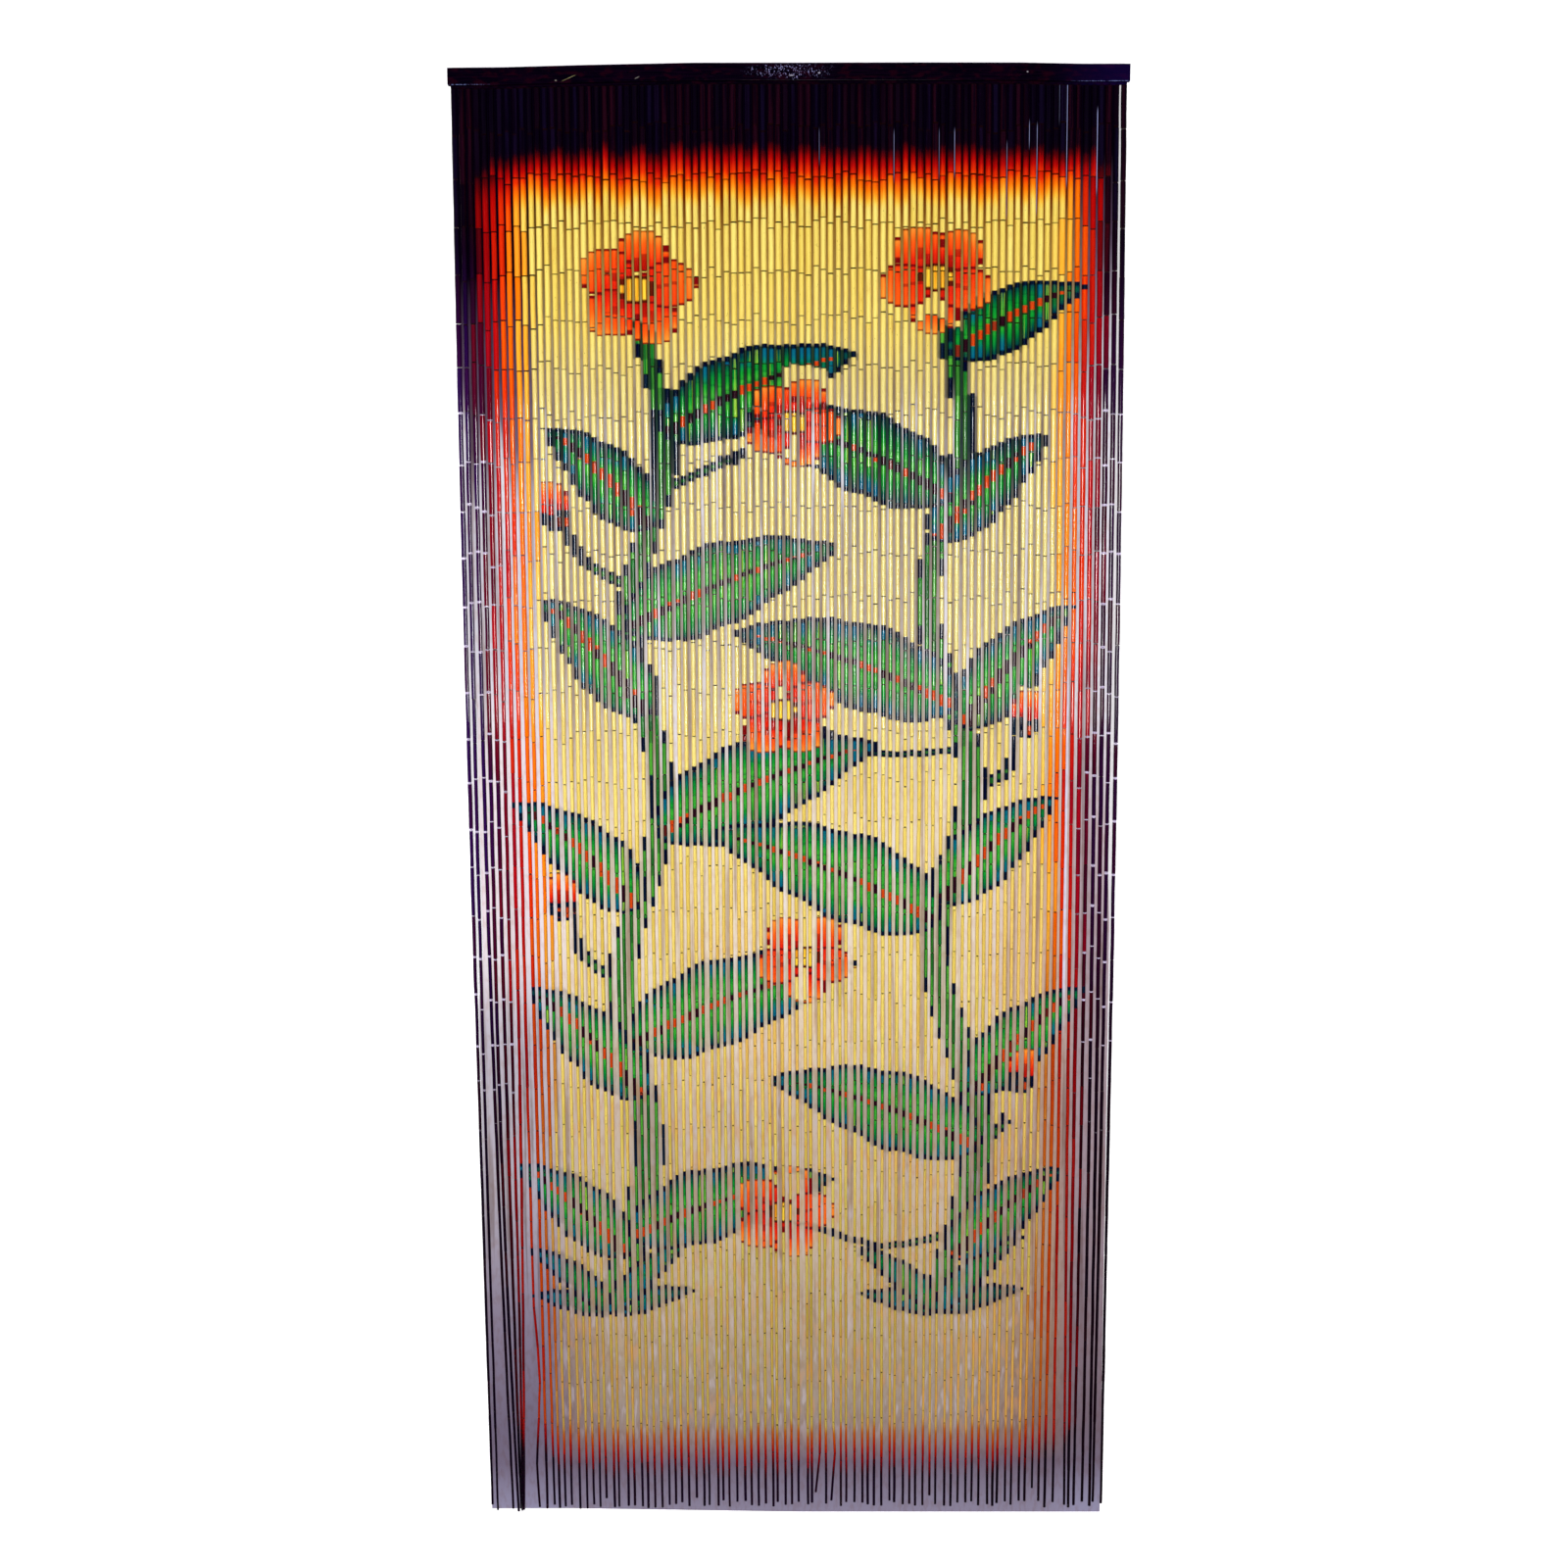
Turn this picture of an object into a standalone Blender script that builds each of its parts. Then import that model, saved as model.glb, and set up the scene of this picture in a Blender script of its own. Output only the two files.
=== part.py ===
"""Bamboo door curtain: ninety strands of painted cane in a row under a wooden header rail.

Metres, +Z up. The origin is the middle of the rail's back face. The front looks along -Y,
and the strands hang down from the rail's underside.
"""
import math

import bmesh
import bpy
import numpy as np

# Header rail: a thin batten, its width along X
RAIL_WIDTH = 0.900
RAIL_HEIGHT = 0.022
RAIL_DEPTH = 0.012
RAIL_EDGE = 0.0012

# The batten is sprung a little out of straight: share of its width, rise
RAIL_BOW = (
    (0.00, 0.0000),
    (0.08, 0.0002),
    (0.20, 0.0025),
    (0.36, 0.0046),
    (0.50, 0.0040),
    (0.70, 0.0034),
    (0.84, 0.0026),
    (0.93, 0.0006),
    (1.00, 0.0004),
)

# Hanging strip, which stands for the row of wire eyes, parted from the rail's underside
PARTING = 0.0003
STRIP_WIDTH = 0.893
STRIP_HEIGHT = 0.0040
STRIP_DEPTH = 0.0030

# Strands: equal pitch, thick canes at the top and thin ones at the foot
STRAND_COUNT = 90
STRAND_PITCH = 0.00995
STRAND_DROP = 1.992
STRAND_LINE_Y = -RAIL_DEPTH / 2
TOP_THICKNESS = 0.0080
END_THICKNESS = 0.0032
TAPER_POWER = 1.2

# How unlike each other the strands are, each as the most to either side
STRAND_SEED = 27
THICKNESS_SPREAD = 0.08
HOME_SPREAD = 0.0005
END_SPREAD = 0.0016
SWAY = 0.0010
DEPTH_SPREAD = 0.0012
LENGTH_SPREAD = 0.0050

# The row stands this share wider halfway down than at its ends
BELLY = 0.008

# Strands that lean out of line towards their ends:
# strand counted from the left, share of the drop where it begins, move right, move back
LEANS = (
    (2, 0.35, 0.0124, 0.0000),
    (3, 0.60, 0.0112, -0.0040),
    (4, 0.50, 0.0040, 0.0038),
    (5, 0.80, -0.0042, 0.0000),
    (6, 0.55, -0.0115, -0.0044),
    (7, 0.60, 0.0015, 0.0000),
    (9, 0.50, 0.0030, 0.0000),
    (48, 0.96, -0.0065, -0.0020),
    (50, 0.97, -0.0030, 0.0000),
    (72, 0.60, 0.0045, 0.0000),
    (83, 0.45, 0.0066, 0.0000),
    (84, 0.60, 0.0022, 0.0000),
    (87, 0.10, 0.0034, 0.0010),
    (88, 0.10, -0.0022, -0.0010),
)

# Strands that buckle to one side part of the way down:
# strand, share of the drop at the middle, reach to each side of it, move right
BUCKLES = (
    (7, 0.90, 0.060, 0.0058),
    (7, 0.96, 0.025, -0.0026),
    (50, 0.965, 0.020, 0.0022),
    (35, 0.40, 0.080, 0.0016),
    (62, 0.55, 0.070, -0.0016),
)

# Strands that end short: strand, how much
SHORT_STRANDS = {17: 0.012, 48: 0.022, 79: 0.022, 30: 0.006, 64: 0.009}

# Points along a strand, and along each lean or buckle
PLAIN_POINTS = 9
BEND_POINTS = 6
LEAST_STEP = 0.008

# Columns of the table of chance values, one row for each strand
CHANCE = dict(thickness=0, home=1, phase=2, turns=3, end=4, depth=5, length=6)
SWAY_TURNS = 1.1

COLLECTION_NAME = "bamboo_door_curtain"
GUIDES_NAME = "guides"


def clear_scene():
    """Remove what the scene starts with."""
    for item in list(bpy.data.objects):
        bpy.data.objects.remove(item, do_unlink=True)


def make_collection(name):
    """Add a collection to the scene."""
    collection = bpy.data.collections.new(name)
    bpy.context.scene.collection.children.link(collection)
    return collection


def make_material(name, colour, roughness):
    """Make a painted or varnished wood finish."""
    material = bpy.data.materials.new(name)
    material.use_nodes = True
    shader = material.node_tree.nodes["Principled BSDF"]
    shader.inputs["Base Color"].default_value = (*colour, 1.0)
    shader.inputs["Roughness"].default_value = roughness
    shader.inputs["Metallic"].default_value = 0.0
    return material


def rail_rise(x):
    """Rise of the sprung batten at x, between the rows of RAIL_BOW."""
    shares, rises = zip(*RAIL_BOW)
    return np.interp(np.asarray(x) / RAIL_WIDTH + 0.5, shares, rises)


def mesh_from_curve(curve_object, collection):
    """Turn a curve object into a mesh object of the same name, with its caps welded on."""
    bpy.context.view_layer.update()
    evaluated = curve_object.evaluated_get(bpy.context.evaluated_depsgraph_get())
    mesh = bpy.data.meshes.new_from_object(evaluated)
    name = curve_object.name
    place = curve_object.matrix_world.copy()
    bpy.data.objects.remove(curve_object, do_unlink=True)
    mesh.name = name
    body = bmesh.new()
    body.from_mesh(mesh)
    bmesh.ops.remove_doubles(body, verts=body.verts, dist=0.00001)
    bmesh.ops.recalc_face_normals(body, faces=body.faces)
    body.to_mesh(mesh)
    body.free()
    piece = bpy.data.objects.new(name, mesh)
    piece.matrix_world = place
    collection.objects.link(piece)
    return piece


def add_batten(name, width, height, depth, top, collection):
    """Extrude a bowed bar of this width and height, with its top edge at this level."""
    xs = (np.array([share for share, _ in RAIL_BOW]) - 0.5) * width
    upper = top + rail_rise(xs)
    lower = upper - height
    corners = [*zip(xs, lower), *zip(xs[::-1], upper[::-1])]
    outline = bpy.data.curves.new(name, "CURVE")
    outline.dimensions = "2D"
    outline.fill_mode = "BOTH"
    outline.extrude = depth / 2
    spline = outline.splines.new("POLY")
    spline.points.add(len(corners) - 1)
    for point, (x, z) in zip(spline.points, corners):
        point.co = (x, z, 0.0, 1.0)
    spline.use_cyclic_u = True
    batten = bpy.data.objects.new(name, outline)
    batten.rotation_euler = (math.pi / 2, 0.0, 0.0)
    batten.location = (0.0, STRAND_LINE_Y, 0.0)
    collection.objects.link(batten)
    return mesh_from_curve(batten, collection)


def add_header_rail(collection):
    """Make the batten, its back face in the plane y = 0 and its long edges eased."""
    rail = add_batten("header_rail", RAIL_WIDTH, RAIL_HEIGHT, RAIL_DEPTH, RAIL_HEIGHT / 2, collection)
    eased = rail.modifiers.new("eased edges", "BEVEL")
    eased.width = RAIL_EDGE
    eased.segments = 2
    eased.limit_method = "ANGLE"
    eased.angle_limit = math.radians(40)
    rail.data.materials.append(make_material("aubergine_gloss_paint", (0.010, 0.005, 0.016), 0.32))
    rail.data.shade_smooth()
    rail.data.set_sharp_from_angle(angle=math.radians(40))


def strand_thickness(share):
    """Thickness of the canes at a share of the drop, falling fastest near the top."""
    return END_THICKNESS + (TOP_THICKNESS - END_THICKNESS) * (1.0 - share) ** TAPER_POWER


def strand_line(strand, share, chance):
    """Place of a strand's middle line: even spacing, a slow sway, then its leans and buckles."""
    row = chance[strand]
    loose = 0.0 if any(strand == lean[0] for lean in LEANS) else 1.0
    home = (strand - (STRAND_COUNT - 1) / 2) * STRAND_PITCH + HOME_SPREAD * row[CHANCE["home"]]
    spread = BELLY * home * np.sin(math.pi * share)
    turns = SWAY_TURNS * (1.5 + 0.5 * row[CHANCE["turns"]])
    sway = SWAY * share * np.sin(math.pi * (turns * share + row[CHANCE["phase"]]))
    x = home + spread + loose * (END_SPREAD * row[CHANCE["end"]] * share + sway)
    y = STRAND_LINE_Y + loose * DEPTH_SPREAD * row[CHANCE["depth"]] * share
    for leaning, begins, right, back in LEANS:
        if leaning == strand:
            lean = np.clip((share - begins) / (1.0 - begins), 0.0, 1.0) ** 2
            x = x + right * lean
            y = y + back * lean
    for buckled, middle, reach, right in BUCKLES:
        if buckled == strand:
            inside = np.clip((share - middle) / reach, -1.0, 1.0)
            x = x + right * np.cos(inside * math.pi / 2) ** 2
    top = -RAIL_HEIGHT / 2 - PARTING - STRIP_HEIGHT / 2 + rail_rise(home)
    length = STRAND_DROP + LENGTH_SPREAD * row[CHANCE["length"]] - SHORT_STRANDS.get(strand, 0.0)
    z = top - length * share
    return np.stack([x, y, z], axis=-1)


def strand_shares(strand):
    """Shares of the drop at which a strand has a point: even, and closer along its bends."""
    wanted = list(np.linspace(0.0, 1.0, PLAIN_POINTS))
    for leaning, begins, _, _ in LEANS:
        if leaning == strand:
            wanted += list(np.linspace(begins, 1.0, BEND_POINTS))
    for buckled, middle, reach, _ in BUCKLES:
        if buckled == strand:
            wanted += list(np.linspace(middle - reach, min(middle + reach, 1.0), BEND_POINTS))
    shares = [0.0]
    for share in sorted(wanted):
        if share - shares[-1] > LEAST_STEP:
            shares.append(share)
    shares[-1] = 1.0
    return np.array(shares)


def add_strands(collection, guides):
    """Make every strand as a four-sided tapering tube, all fused at their roots to one strip."""
    chance = np.random.default_rng(STRAND_SEED).uniform(-1.0, 1.0, (STRAND_COUNT, len(CHANCE)))
    tubes = bpy.data.curves.new("bamboo_strands", "CURVE")
    tubes.dimensions = "3D"
    tubes.bevel_depth = TOP_THICKNESS / 2
    tubes.bevel_resolution = 0
    tubes.use_fill_caps = True
    for strand in range(STRAND_COUNT):
        shares = strand_shares(strand)
        line = strand_line(strand, shares, chance)
        plump = 1.0 + THICKNESS_SPREAD * chance[strand, CHANCE["thickness"]]
        scales = plump * strand_thickness(shares) / TOP_THICKNESS
        spline = tubes.splines.new("POLY")
        spline.points.add(len(shares) - 1)
        for point, place, scale in zip(spline.points, line, scales):
            point.co = (*place, 1.0)
            point.radius = scale
    strands = bpy.data.objects.new("bamboo_strands", tubes)
    collection.objects.link(strands)
    strands = mesh_from_curve(strands, collection)

    strip_top = -RAIL_HEIGHT / 2 - PARTING
    strip = add_batten("hanging_strip", STRIP_WIDTH, STRIP_HEIGHT, STRIP_DEPTH, strip_top, guides)
    strip.hide_render = True
    strip.display_type = "WIRE"
    fused = strands.modifiers.new("fused roots", "BOOLEAN")
    fused.operation = "UNION"
    fused.solver = "EXACT"
    fused.object = strip
    strands.data.materials.append(make_material("varnished_cane", (0.80, 0.56, 0.16), 0.35))


def build():
    """Make the curtain's pieces in their own collection."""
    clear_scene()
    collection = make_collection(COLLECTION_NAME)
    guides = make_collection(GUIDES_NAME)
    add_header_rail(collection)
    add_strands(collection, guides)


build()
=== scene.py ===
"""Bamboo door curtain: the finish of its header rail, its cane beads and their wire.

Metres, +Z up, the rail's flat back in the plane y = 0 and the painted front towards -Y.
"""
import math
from types import SimpleNamespace

import bpy
import numpy as np
from mathutils import Matrix, Vector


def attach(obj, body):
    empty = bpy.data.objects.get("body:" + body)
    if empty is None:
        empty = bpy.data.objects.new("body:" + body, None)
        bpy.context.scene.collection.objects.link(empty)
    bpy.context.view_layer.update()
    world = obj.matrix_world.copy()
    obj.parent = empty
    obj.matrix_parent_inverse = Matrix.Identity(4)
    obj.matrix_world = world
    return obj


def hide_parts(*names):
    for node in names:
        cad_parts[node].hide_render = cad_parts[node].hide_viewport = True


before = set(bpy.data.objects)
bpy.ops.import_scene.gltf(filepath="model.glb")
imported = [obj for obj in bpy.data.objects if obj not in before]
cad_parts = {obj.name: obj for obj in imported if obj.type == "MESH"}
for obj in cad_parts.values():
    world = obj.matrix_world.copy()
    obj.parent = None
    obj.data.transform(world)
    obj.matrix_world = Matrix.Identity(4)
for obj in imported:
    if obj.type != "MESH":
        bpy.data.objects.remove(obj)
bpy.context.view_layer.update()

# Header rail, as in the solids
RAIL_WIDTH = 0.900
RAIL_HEIGHT = 0.022
RAIL_DEPTH = 0.012
RAIL_BOW = (
    (0.00, 0.0000),
    (0.08, 0.0002),
    (0.20, 0.0025),
    (0.36, 0.0046),
    (0.50, 0.0040),
    (0.70, 0.0034),
    (0.84, 0.0026),
    (0.93, 0.0006),
    (1.00, 0.0004),
)

# Strands, as in the solids: where each hangs, how thick it is and how it strays
PARTING = 0.0003
STRIP_WIDTH = 0.893
STRIP_HEIGHT = 0.0040
STRIP_DEPTH = 0.0030
STRAND_COUNT = 90
STRAND_PITCH = 0.00995
STRAND_DROP = 1.992
TOP_THICKNESS = 0.0080
END_THICKNESS = 0.0032
TAPER_POWER = 1.2
STRAND_SEED = 27
THICKNESS_SPREAD = 0.08
HOME_SPREAD = 0.0005
END_SPREAD = 0.0016
SWAY = 0.0010
SWAY_TURNS = 1.1
DEPTH_SPREAD = 0.0012
LENGTH_SPREAD = 0.0050
BELLY = 0.008
CHANCE = dict(thickness=0, home=1, phase=2, turns=3, end=4, depth=5, length=6)

# Leaning strands: counted from the left, share of the drop where it begins, right, back
LEANS = (
    (2, 0.35, 0.0124, 0.0000),
    (3, 0.60, 0.0112, -0.0040),
    (4, 0.50, 0.0040, 0.0038),
    (5, 0.80, -0.0042, 0.0000),
    (6, 0.55, -0.0115, -0.0044),
    (7, 0.60, 0.0015, 0.0000),
    (9, 0.50, 0.0030, 0.0000),
    (48, 0.96, -0.0065, -0.0020),
    (50, 0.97, -0.0030, 0.0000),
    (72, 0.60, 0.0045, 0.0000),
    (83, 0.45, 0.0066, 0.0000),
    (84, 0.60, 0.0022, 0.0000),
    (87, 0.10, 0.0034, 0.0010),
    (88, 0.10, -0.0022, -0.0010),
)

# Buckled strands: counted from the left, share of the drop at the middle, reach, right
BUCKLES = (
    (7, 0.90, 0.060, 0.0058),
    (7, 0.96, 0.025, -0.0026),
    (50, 0.965, 0.020, 0.0022),
    (35, 0.40, 0.080, 0.0016),
    (62, 0.55, 0.070, -0.0016),
)
SHORT_STRANDS = {17: 0.012, 48: 0.022, 79: 0.022, 30: 0.006, 64: 0.009}

# Cane beads
BEAD_COUNT = 32
FIRST_TOP = 0.0022
FIRST_JOINT = 0.0570
BEAD_PITCH = 0.0622
JOINT_SPREAD = 0.0060
LOW_JOINT_SPREAD = 0.0040
JOINT_WAVE = 0.0020
JOINT_WAVE_LENGTH = 0.31
JOINT_DRIFT = 0.0018
NARROW_GAP = 0.0002
WIDE_GAP = 0.0008
BEAD_SIDES = 10
BEAD_SPREAD = 0.06
LOW_SWELL = 0.10
RIGHT_SWELL = 0.12
RIGHT_SWELL_FROM = 0.36
BEAD_BOW = 0.0003
END_BEVEL = 0.09
BEAD_CREASE = 42.0
END_SHARE = 0.87
RING_SHARES = (0.0, 0.0, 0.35, 0.68, 1.0, 1.0)
RING_SCALES = (END_SHARE, 1.0, 1.01, 0.99, 1.0, END_SHARE)
HOLLOW_DEPTH = 0.0016
OVALITY = 0.03
BEAD_SEED = 61
LINK_SEED = 64
SLIP_SEED = 70
STRANDS_A_PIECE = 30

# Wire between the beads and under the rail, and the strip's corners
WIRE_RADIUS = 0.00026
LINK_SIDES = 4
LINK_STEPS = 8
LINK_REACH = 0.0016
LINK_WIDTH_SHARE = 0.30
EYE_REACH = 0.0008
EYE_WIDTH = 0.0046
EYE_TURN_SHARE = 0.2
STRIP_CORNERS = 8
STRIP_EASE = 0.75
STRIP_CREASE = 30.0

# Paint: how far in from each side the dark border runs before it fades, and over what width
BORDER = dict(left=(0.022, 0.100), right=(0.018, 0.090), top=(0.084, 0.092), foot=(0.042, 0.094))
TOP_ROUNDING = 2.2
FOOT_ROUNDING = 1.4
RIGHT_ROUNDING = 1.4
FIELD_HALF_WIDTH = 0.4475
FIELD_FOOT = -2.006

# Camera: 50 mm lens, 3 m in front, half a metre below the rail, looking a little down
CAMERA_PLACE = (-0.0115, -2.985, -0.509)
CAMERA_PITCH = math.radians(8.33)
CAMERA_ROLL = math.radians(0.32)

# Stage: floor, wall, and the glowing sheet of painted shade and light behind the strands, with
# how far its sides stand in at a level and by what share its levels drop at a place along X
FLOOR_LEVEL = -2.112
FLOOR_REACH = 5.0
WALL_GAP = 0.0015
WALL_TOP = 1.6
WALL_REACH = 3.0
PANEL_HALF_WIDTH = 0.4425
PANEL_FOOT = -2.0125
PANEL_TOP = -0.006
PANEL_GAP = 0.0009
PANEL_DROP = ((-0.45, -0.0012), (-0.33, -0.0010), (0.0, 0.0026), (0.45, 0.0040))
PANEL_LEVELS = 420
PANEL_MARGIN = 0.001
LEFT_INSET = ((-1.26, 0.0), (-1.18, 0.0085), (-0.84, 0.0085), (-0.78, 0.0))
RIGHT_INSET = ((-1.14, 0.0), (-1.00, 0.0058), (-0.20, 0.0058), (-0.08, 0.00464))

# Light of the surroundings, as the shader's light values: what lights the curtain, what shows
SKY_THAT_LIGHTS = (0.050, 0.042, 0.075, 1.0)
SKY_THAT_SHOWS = (0.84, 0.83, 0.86, 1.0)


# Shader expressions

def arithmetic(operation, turned=False):
    """An operator that adds a Math node, with its two values swapped if turned."""
    def add_node(value, other):
        pair = (other, value) if turned else (value, other)
        return value.finish.math(operation, *pair)
    return add_node


class Output:
    """A node's output. Arithmetic on it adds Math nodes, and as a mask it mixes and tints."""

    __add__ = __radd__ = arithmetic("ADD")
    __sub__ = arithmetic("SUBTRACT")
    __rsub__ = arithmetic("SUBTRACT", turned=True)
    __mul__ = __rmul__ = arithmetic("MULTIPLY")
    __truediv__ = arithmetic("DIVIDE")
    __rtruediv__ = arithmetic("DIVIDE", turned=True)
    __pow__ = arithmetic("POWER")
    __gt__ = arithmetic("GREATER_THAN")
    __lt__ = arithmetic("LESS_THAN")

    def __init__(self, finish, socket):
        self.finish = finish
        self.socket = socket

    def __abs__(self):
        return self.finish.math("ABSOLUTE", self)

    def clamp(self):
        """The value kept between 0 and 1."""
        settings = {"operation": "ADD", "use_clamp": True}
        return self.finish.node("ShaderNodeMath", settings, {0: self, 1: 0.0})

    def step(self, start, end):
        """0 before start, 1 past end and smooth between. The two may be given in falling order."""
        if start > end:
            return 1.0 - self.step(end, start)
        settings = {"interpolation_type": "SMOOTHSTEP"}
        inputs = {"Value": self, "From Min": start, "From Max": end}
        return self.finish.node("ShaderNodeMapRange", settings, inputs, "Result")

    def band(self, start, end, close, closed):
        """1 inside a band: the step from start to end times the step from close to closed."""
        return self.step(start, end) * self.step(close, closed)

    def mix(self, first, second):
        """Blend two colours: 0 gives the first and 1 the second."""
        inputs = {0: self, 6: first, 7: second}
        return self.finish.node("ShaderNodeMix", {"data_type": "RGBA"}, inputs, 2)

    def tint(self, ground, by):
        """Multiply a colour by another, as far as the value says."""
        settings = {"data_type": "RGBA", "blend_type": "MULTIPLY"}
        return self.finish.node("ShaderNodeMix", settings, {0: self, 6: ground, 7: by}, 2)

    def ramp(self, stops):
        """A colour for the value, from stops: place, red, green, blue."""
        return self.finish.node("ShaderNodeValToRGB", {"stops": stops}, {0: self})

    def parts(self):
        """The three parts of a vector."""
        first = self.finish.node("ShaderNodeSeparateXYZ", {}, {0: self})
        return [Output(self.finish, socket) for socket in first.socket.node.outputs]

    def noise(self, scale, shift, detail):
        """Cloudy noise at a vector times a scale, moved by a number along all three axes."""
        offset = self.finish.node("ShaderNodeCombineXYZ", {}, {0: shift, 1: shift, 2: shift})
        settings = {"operation": "MULTIPLY_ADD"}
        spot = self.finish.node("ShaderNodeVectorMath", settings, {0: self, 1: scale, 2: offset})
        inputs = {"Vector": spot, "Scale": 1.0, "Detail": detail}
        return self.finish.node("ShaderNodeTexNoise", {}, inputs)

    def bump(self, distance):
        """A normal bent by the value as a height."""
        inputs = {"Height": self, "Distance": distance, "Strength": 1.0}
        return self.finish.node("ShaderNodeBump", {}, inputs)


class Finish:
    """A material with a Principled shader, and the nodes that feed it."""

    def __init__(self, name, **constants):
        self.material = bpy.data.materials.new(name)
        self.material.use_nodes = True
        self.tree = self.material.node_tree
        self.shader = self.tree.nodes["Principled BSDF"]
        for socket, value in constants.items():
            self.give(socket.replace("_", " "), value)

    def node(self, kind, settings, inputs, output=0):
        """Add a node: its settings first, then the values or links of its sockets. The stops of a
        ramp are a setting. Returns one of its outputs."""
        node = self.tree.nodes.new(kind)
        for name, value in settings.items():
            if name == "stops":
                set_stops(node.color_ramp, value)
            else:
                setattr(node, name, value)
        for key, value in inputs.items():
            self.feed(node.inputs[key], value)
        return Output(self, node.outputs[output])

    def feed(self, socket, value):
        """Link an output to a socket, or set the socket's own number, vector or colour."""
        if isinstance(value, Output):
            self.tree.links.new(value.socket, socket)
        elif socket.type == "RGBA":
            socket.default_value = light_values(*value)
        else:
            socket.default_value = value

    def give(self, socket, value):
        """Feed one of the shader's own sockets."""
        self.feed(self.shader.inputs[socket], value)

    def math(self, operation, *values):
        return self.node("ShaderNodeMath", {"operation": operation}, dict(enumerate(values)))

    def place(self):
        """Object coordinates as a vector."""
        return self.node("ShaderNodeTexCoord", {}, {}, "Object")

    def facing(self):
        """The surface's direction in object space, as a vector."""
        return self.node("ShaderNodeTexCoord", {}, {}, "Normal")

    def attribute(self, name, output="Vector"):
        """One of the piece's own attributes."""
        return self.node("ShaderNodeAttribute", {"attribute_name": name}, {}, output)


def set_stops(ramp, stops):
    """Give a ramp these stops: place, red, green, blue."""
    while len(ramp.elements) < len(stops):
        ramp.elements.new(1.0)
    for element, (place, *tone) in zip(ramp.elements, stops):
        element.position = place
        element.color = light_values(*tone)


def light_values(red, green, blue):
    """A colour as the eye sees it, 0 to 1, turned into the shader's light values."""
    return (*(part ** 2.2 for part in (red, green, blue)), 1.0)


# Strands and beads

def between(rows, at):
    """The value at a place, straight between the rows of a table of places and values."""
    places, values = zip(*rows)
    return np.interp(at, places, values)


def rail_rise(x):
    """Rise of the sprung rail at x."""
    return between(RAIL_BOW, np.asarray(x) / RAIL_WIDTH + 0.5)


strand_chance = np.random.default_rng(STRAND_SEED).uniform(-1.0, 1.0, (STRAND_COUNT, len(CHANCE)))
strand_home = (np.arange(STRAND_COUNT) - (STRAND_COUNT - 1) / 2) * STRAND_PITCH
strand_home = strand_home + HOME_SPREAD * strand_chance[:, CHANCE["home"]]
strand_plump = 1.0 + THICKNESS_SPREAD * strand_chance[:, CHANCE["thickness"]]
strand_length = STRAND_DROP + LENGTH_SPREAD * strand_chance[:, CHANCE["length"]]
for short_strand, shorter in SHORT_STRANDS.items():
    strand_length[short_strand] -= shorter


def strand_thickness(share):
    """Thickness of the canes at a share of the drop, falling fastest near the top."""
    return END_THICKNESS + (TOP_THICKNESS - END_THICKNESS) * (1.0 - share) ** TAPER_POWER


def strand_lines(share):
    """Middle lines of all strands at an array of shares of the drop, a row for each strand:
    home place, a belly of half a sine wave, a slow sway, then squared leans and cosine buckles."""
    column = {name: strand_chance[:, [number]] for name, number in CHANCE.items()}
    home = strand_home[:, None]
    loose = np.ones_like(home)
    loose[[lean[0] for lean in LEANS]] = 0.0
    spread = BELLY * home * np.sin(math.pi * share)
    turns = SWAY_TURNS * (1.5 + 0.5 * column["turns"])
    sway = SWAY * share * np.sin(math.pi * (turns * share + column["phase"]))
    x = home + spread + loose * (END_SPREAD * column["end"] * share + sway)
    y = -RAIL_DEPTH / 2 + loose * DEPTH_SPREAD * column["depth"] * share
    for strand, begins, right, back in LEANS:
        lean = np.clip((share[strand] - begins) / (1.0 - begins), 0.0, 1.0) ** 2
        x[strand] += right * lean
        y[strand] += back * lean
    for strand, middle, reach, right in BUCKLES:
        inside = np.clip((share[strand] - middle) / reach, -1.0, 1.0)
        x[strand] += right * np.cos(inside * math.pi / 2) ** 2
    top = -RAIL_HEIGHT / 2 - PARTING - STRIP_HEIGHT / 2 + rail_rise(home)
    z = top - strand_length[:, None] * share
    return np.stack([x, y, z], axis=-1)


bead_chance = np.random.default_rng(BEAD_SEED)


def cut_beads():
    """Top and foot of every bead, as a drop from its strand's root: even joints, moved by a slow
    wave across the row and by chance, with a gap of its own width at each joint."""
    number = np.arange(BEAD_COUNT - 1)
    wave_phase = bead_chance.uniform(0.0, 2.0 * math.pi, BEAD_COUNT - 1)
    wave_turn = 2.0 * math.pi * strand_home[:, None] / JOINT_WAVE_LENGTH
    wave = JOINT_WAVE * np.sin(wave_turn + wave_phase)
    chance = bead_chance.uniform(-1.0, 1.0, (STRAND_COUNT, BEAD_COUNT - 1))
    chance = chance * (JOINT_SPREAD + LOW_JOINT_SPREAD * number / BEAD_COUNT)
    drift = JOINT_DRIFT * np.cumsum(bead_chance.uniform(-1.0, 1.0, chance.shape), axis=1)
    joint = FIRST_JOINT + BEAD_PITCH * number + wave + chance + drift
    gap = NARROW_GAP + (WIDE_GAP - NARROW_GAP) * bead_chance.uniform(0.0, 1.0, joint.shape) ** 2
    first = np.full((STRAND_COUNT, 1), FIRST_TOP)
    top = np.hstack([first, joint + gap / 2])
    foot = np.hstack([joint - gap / 2, strand_length[:, None]])
    return top, foot


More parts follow.
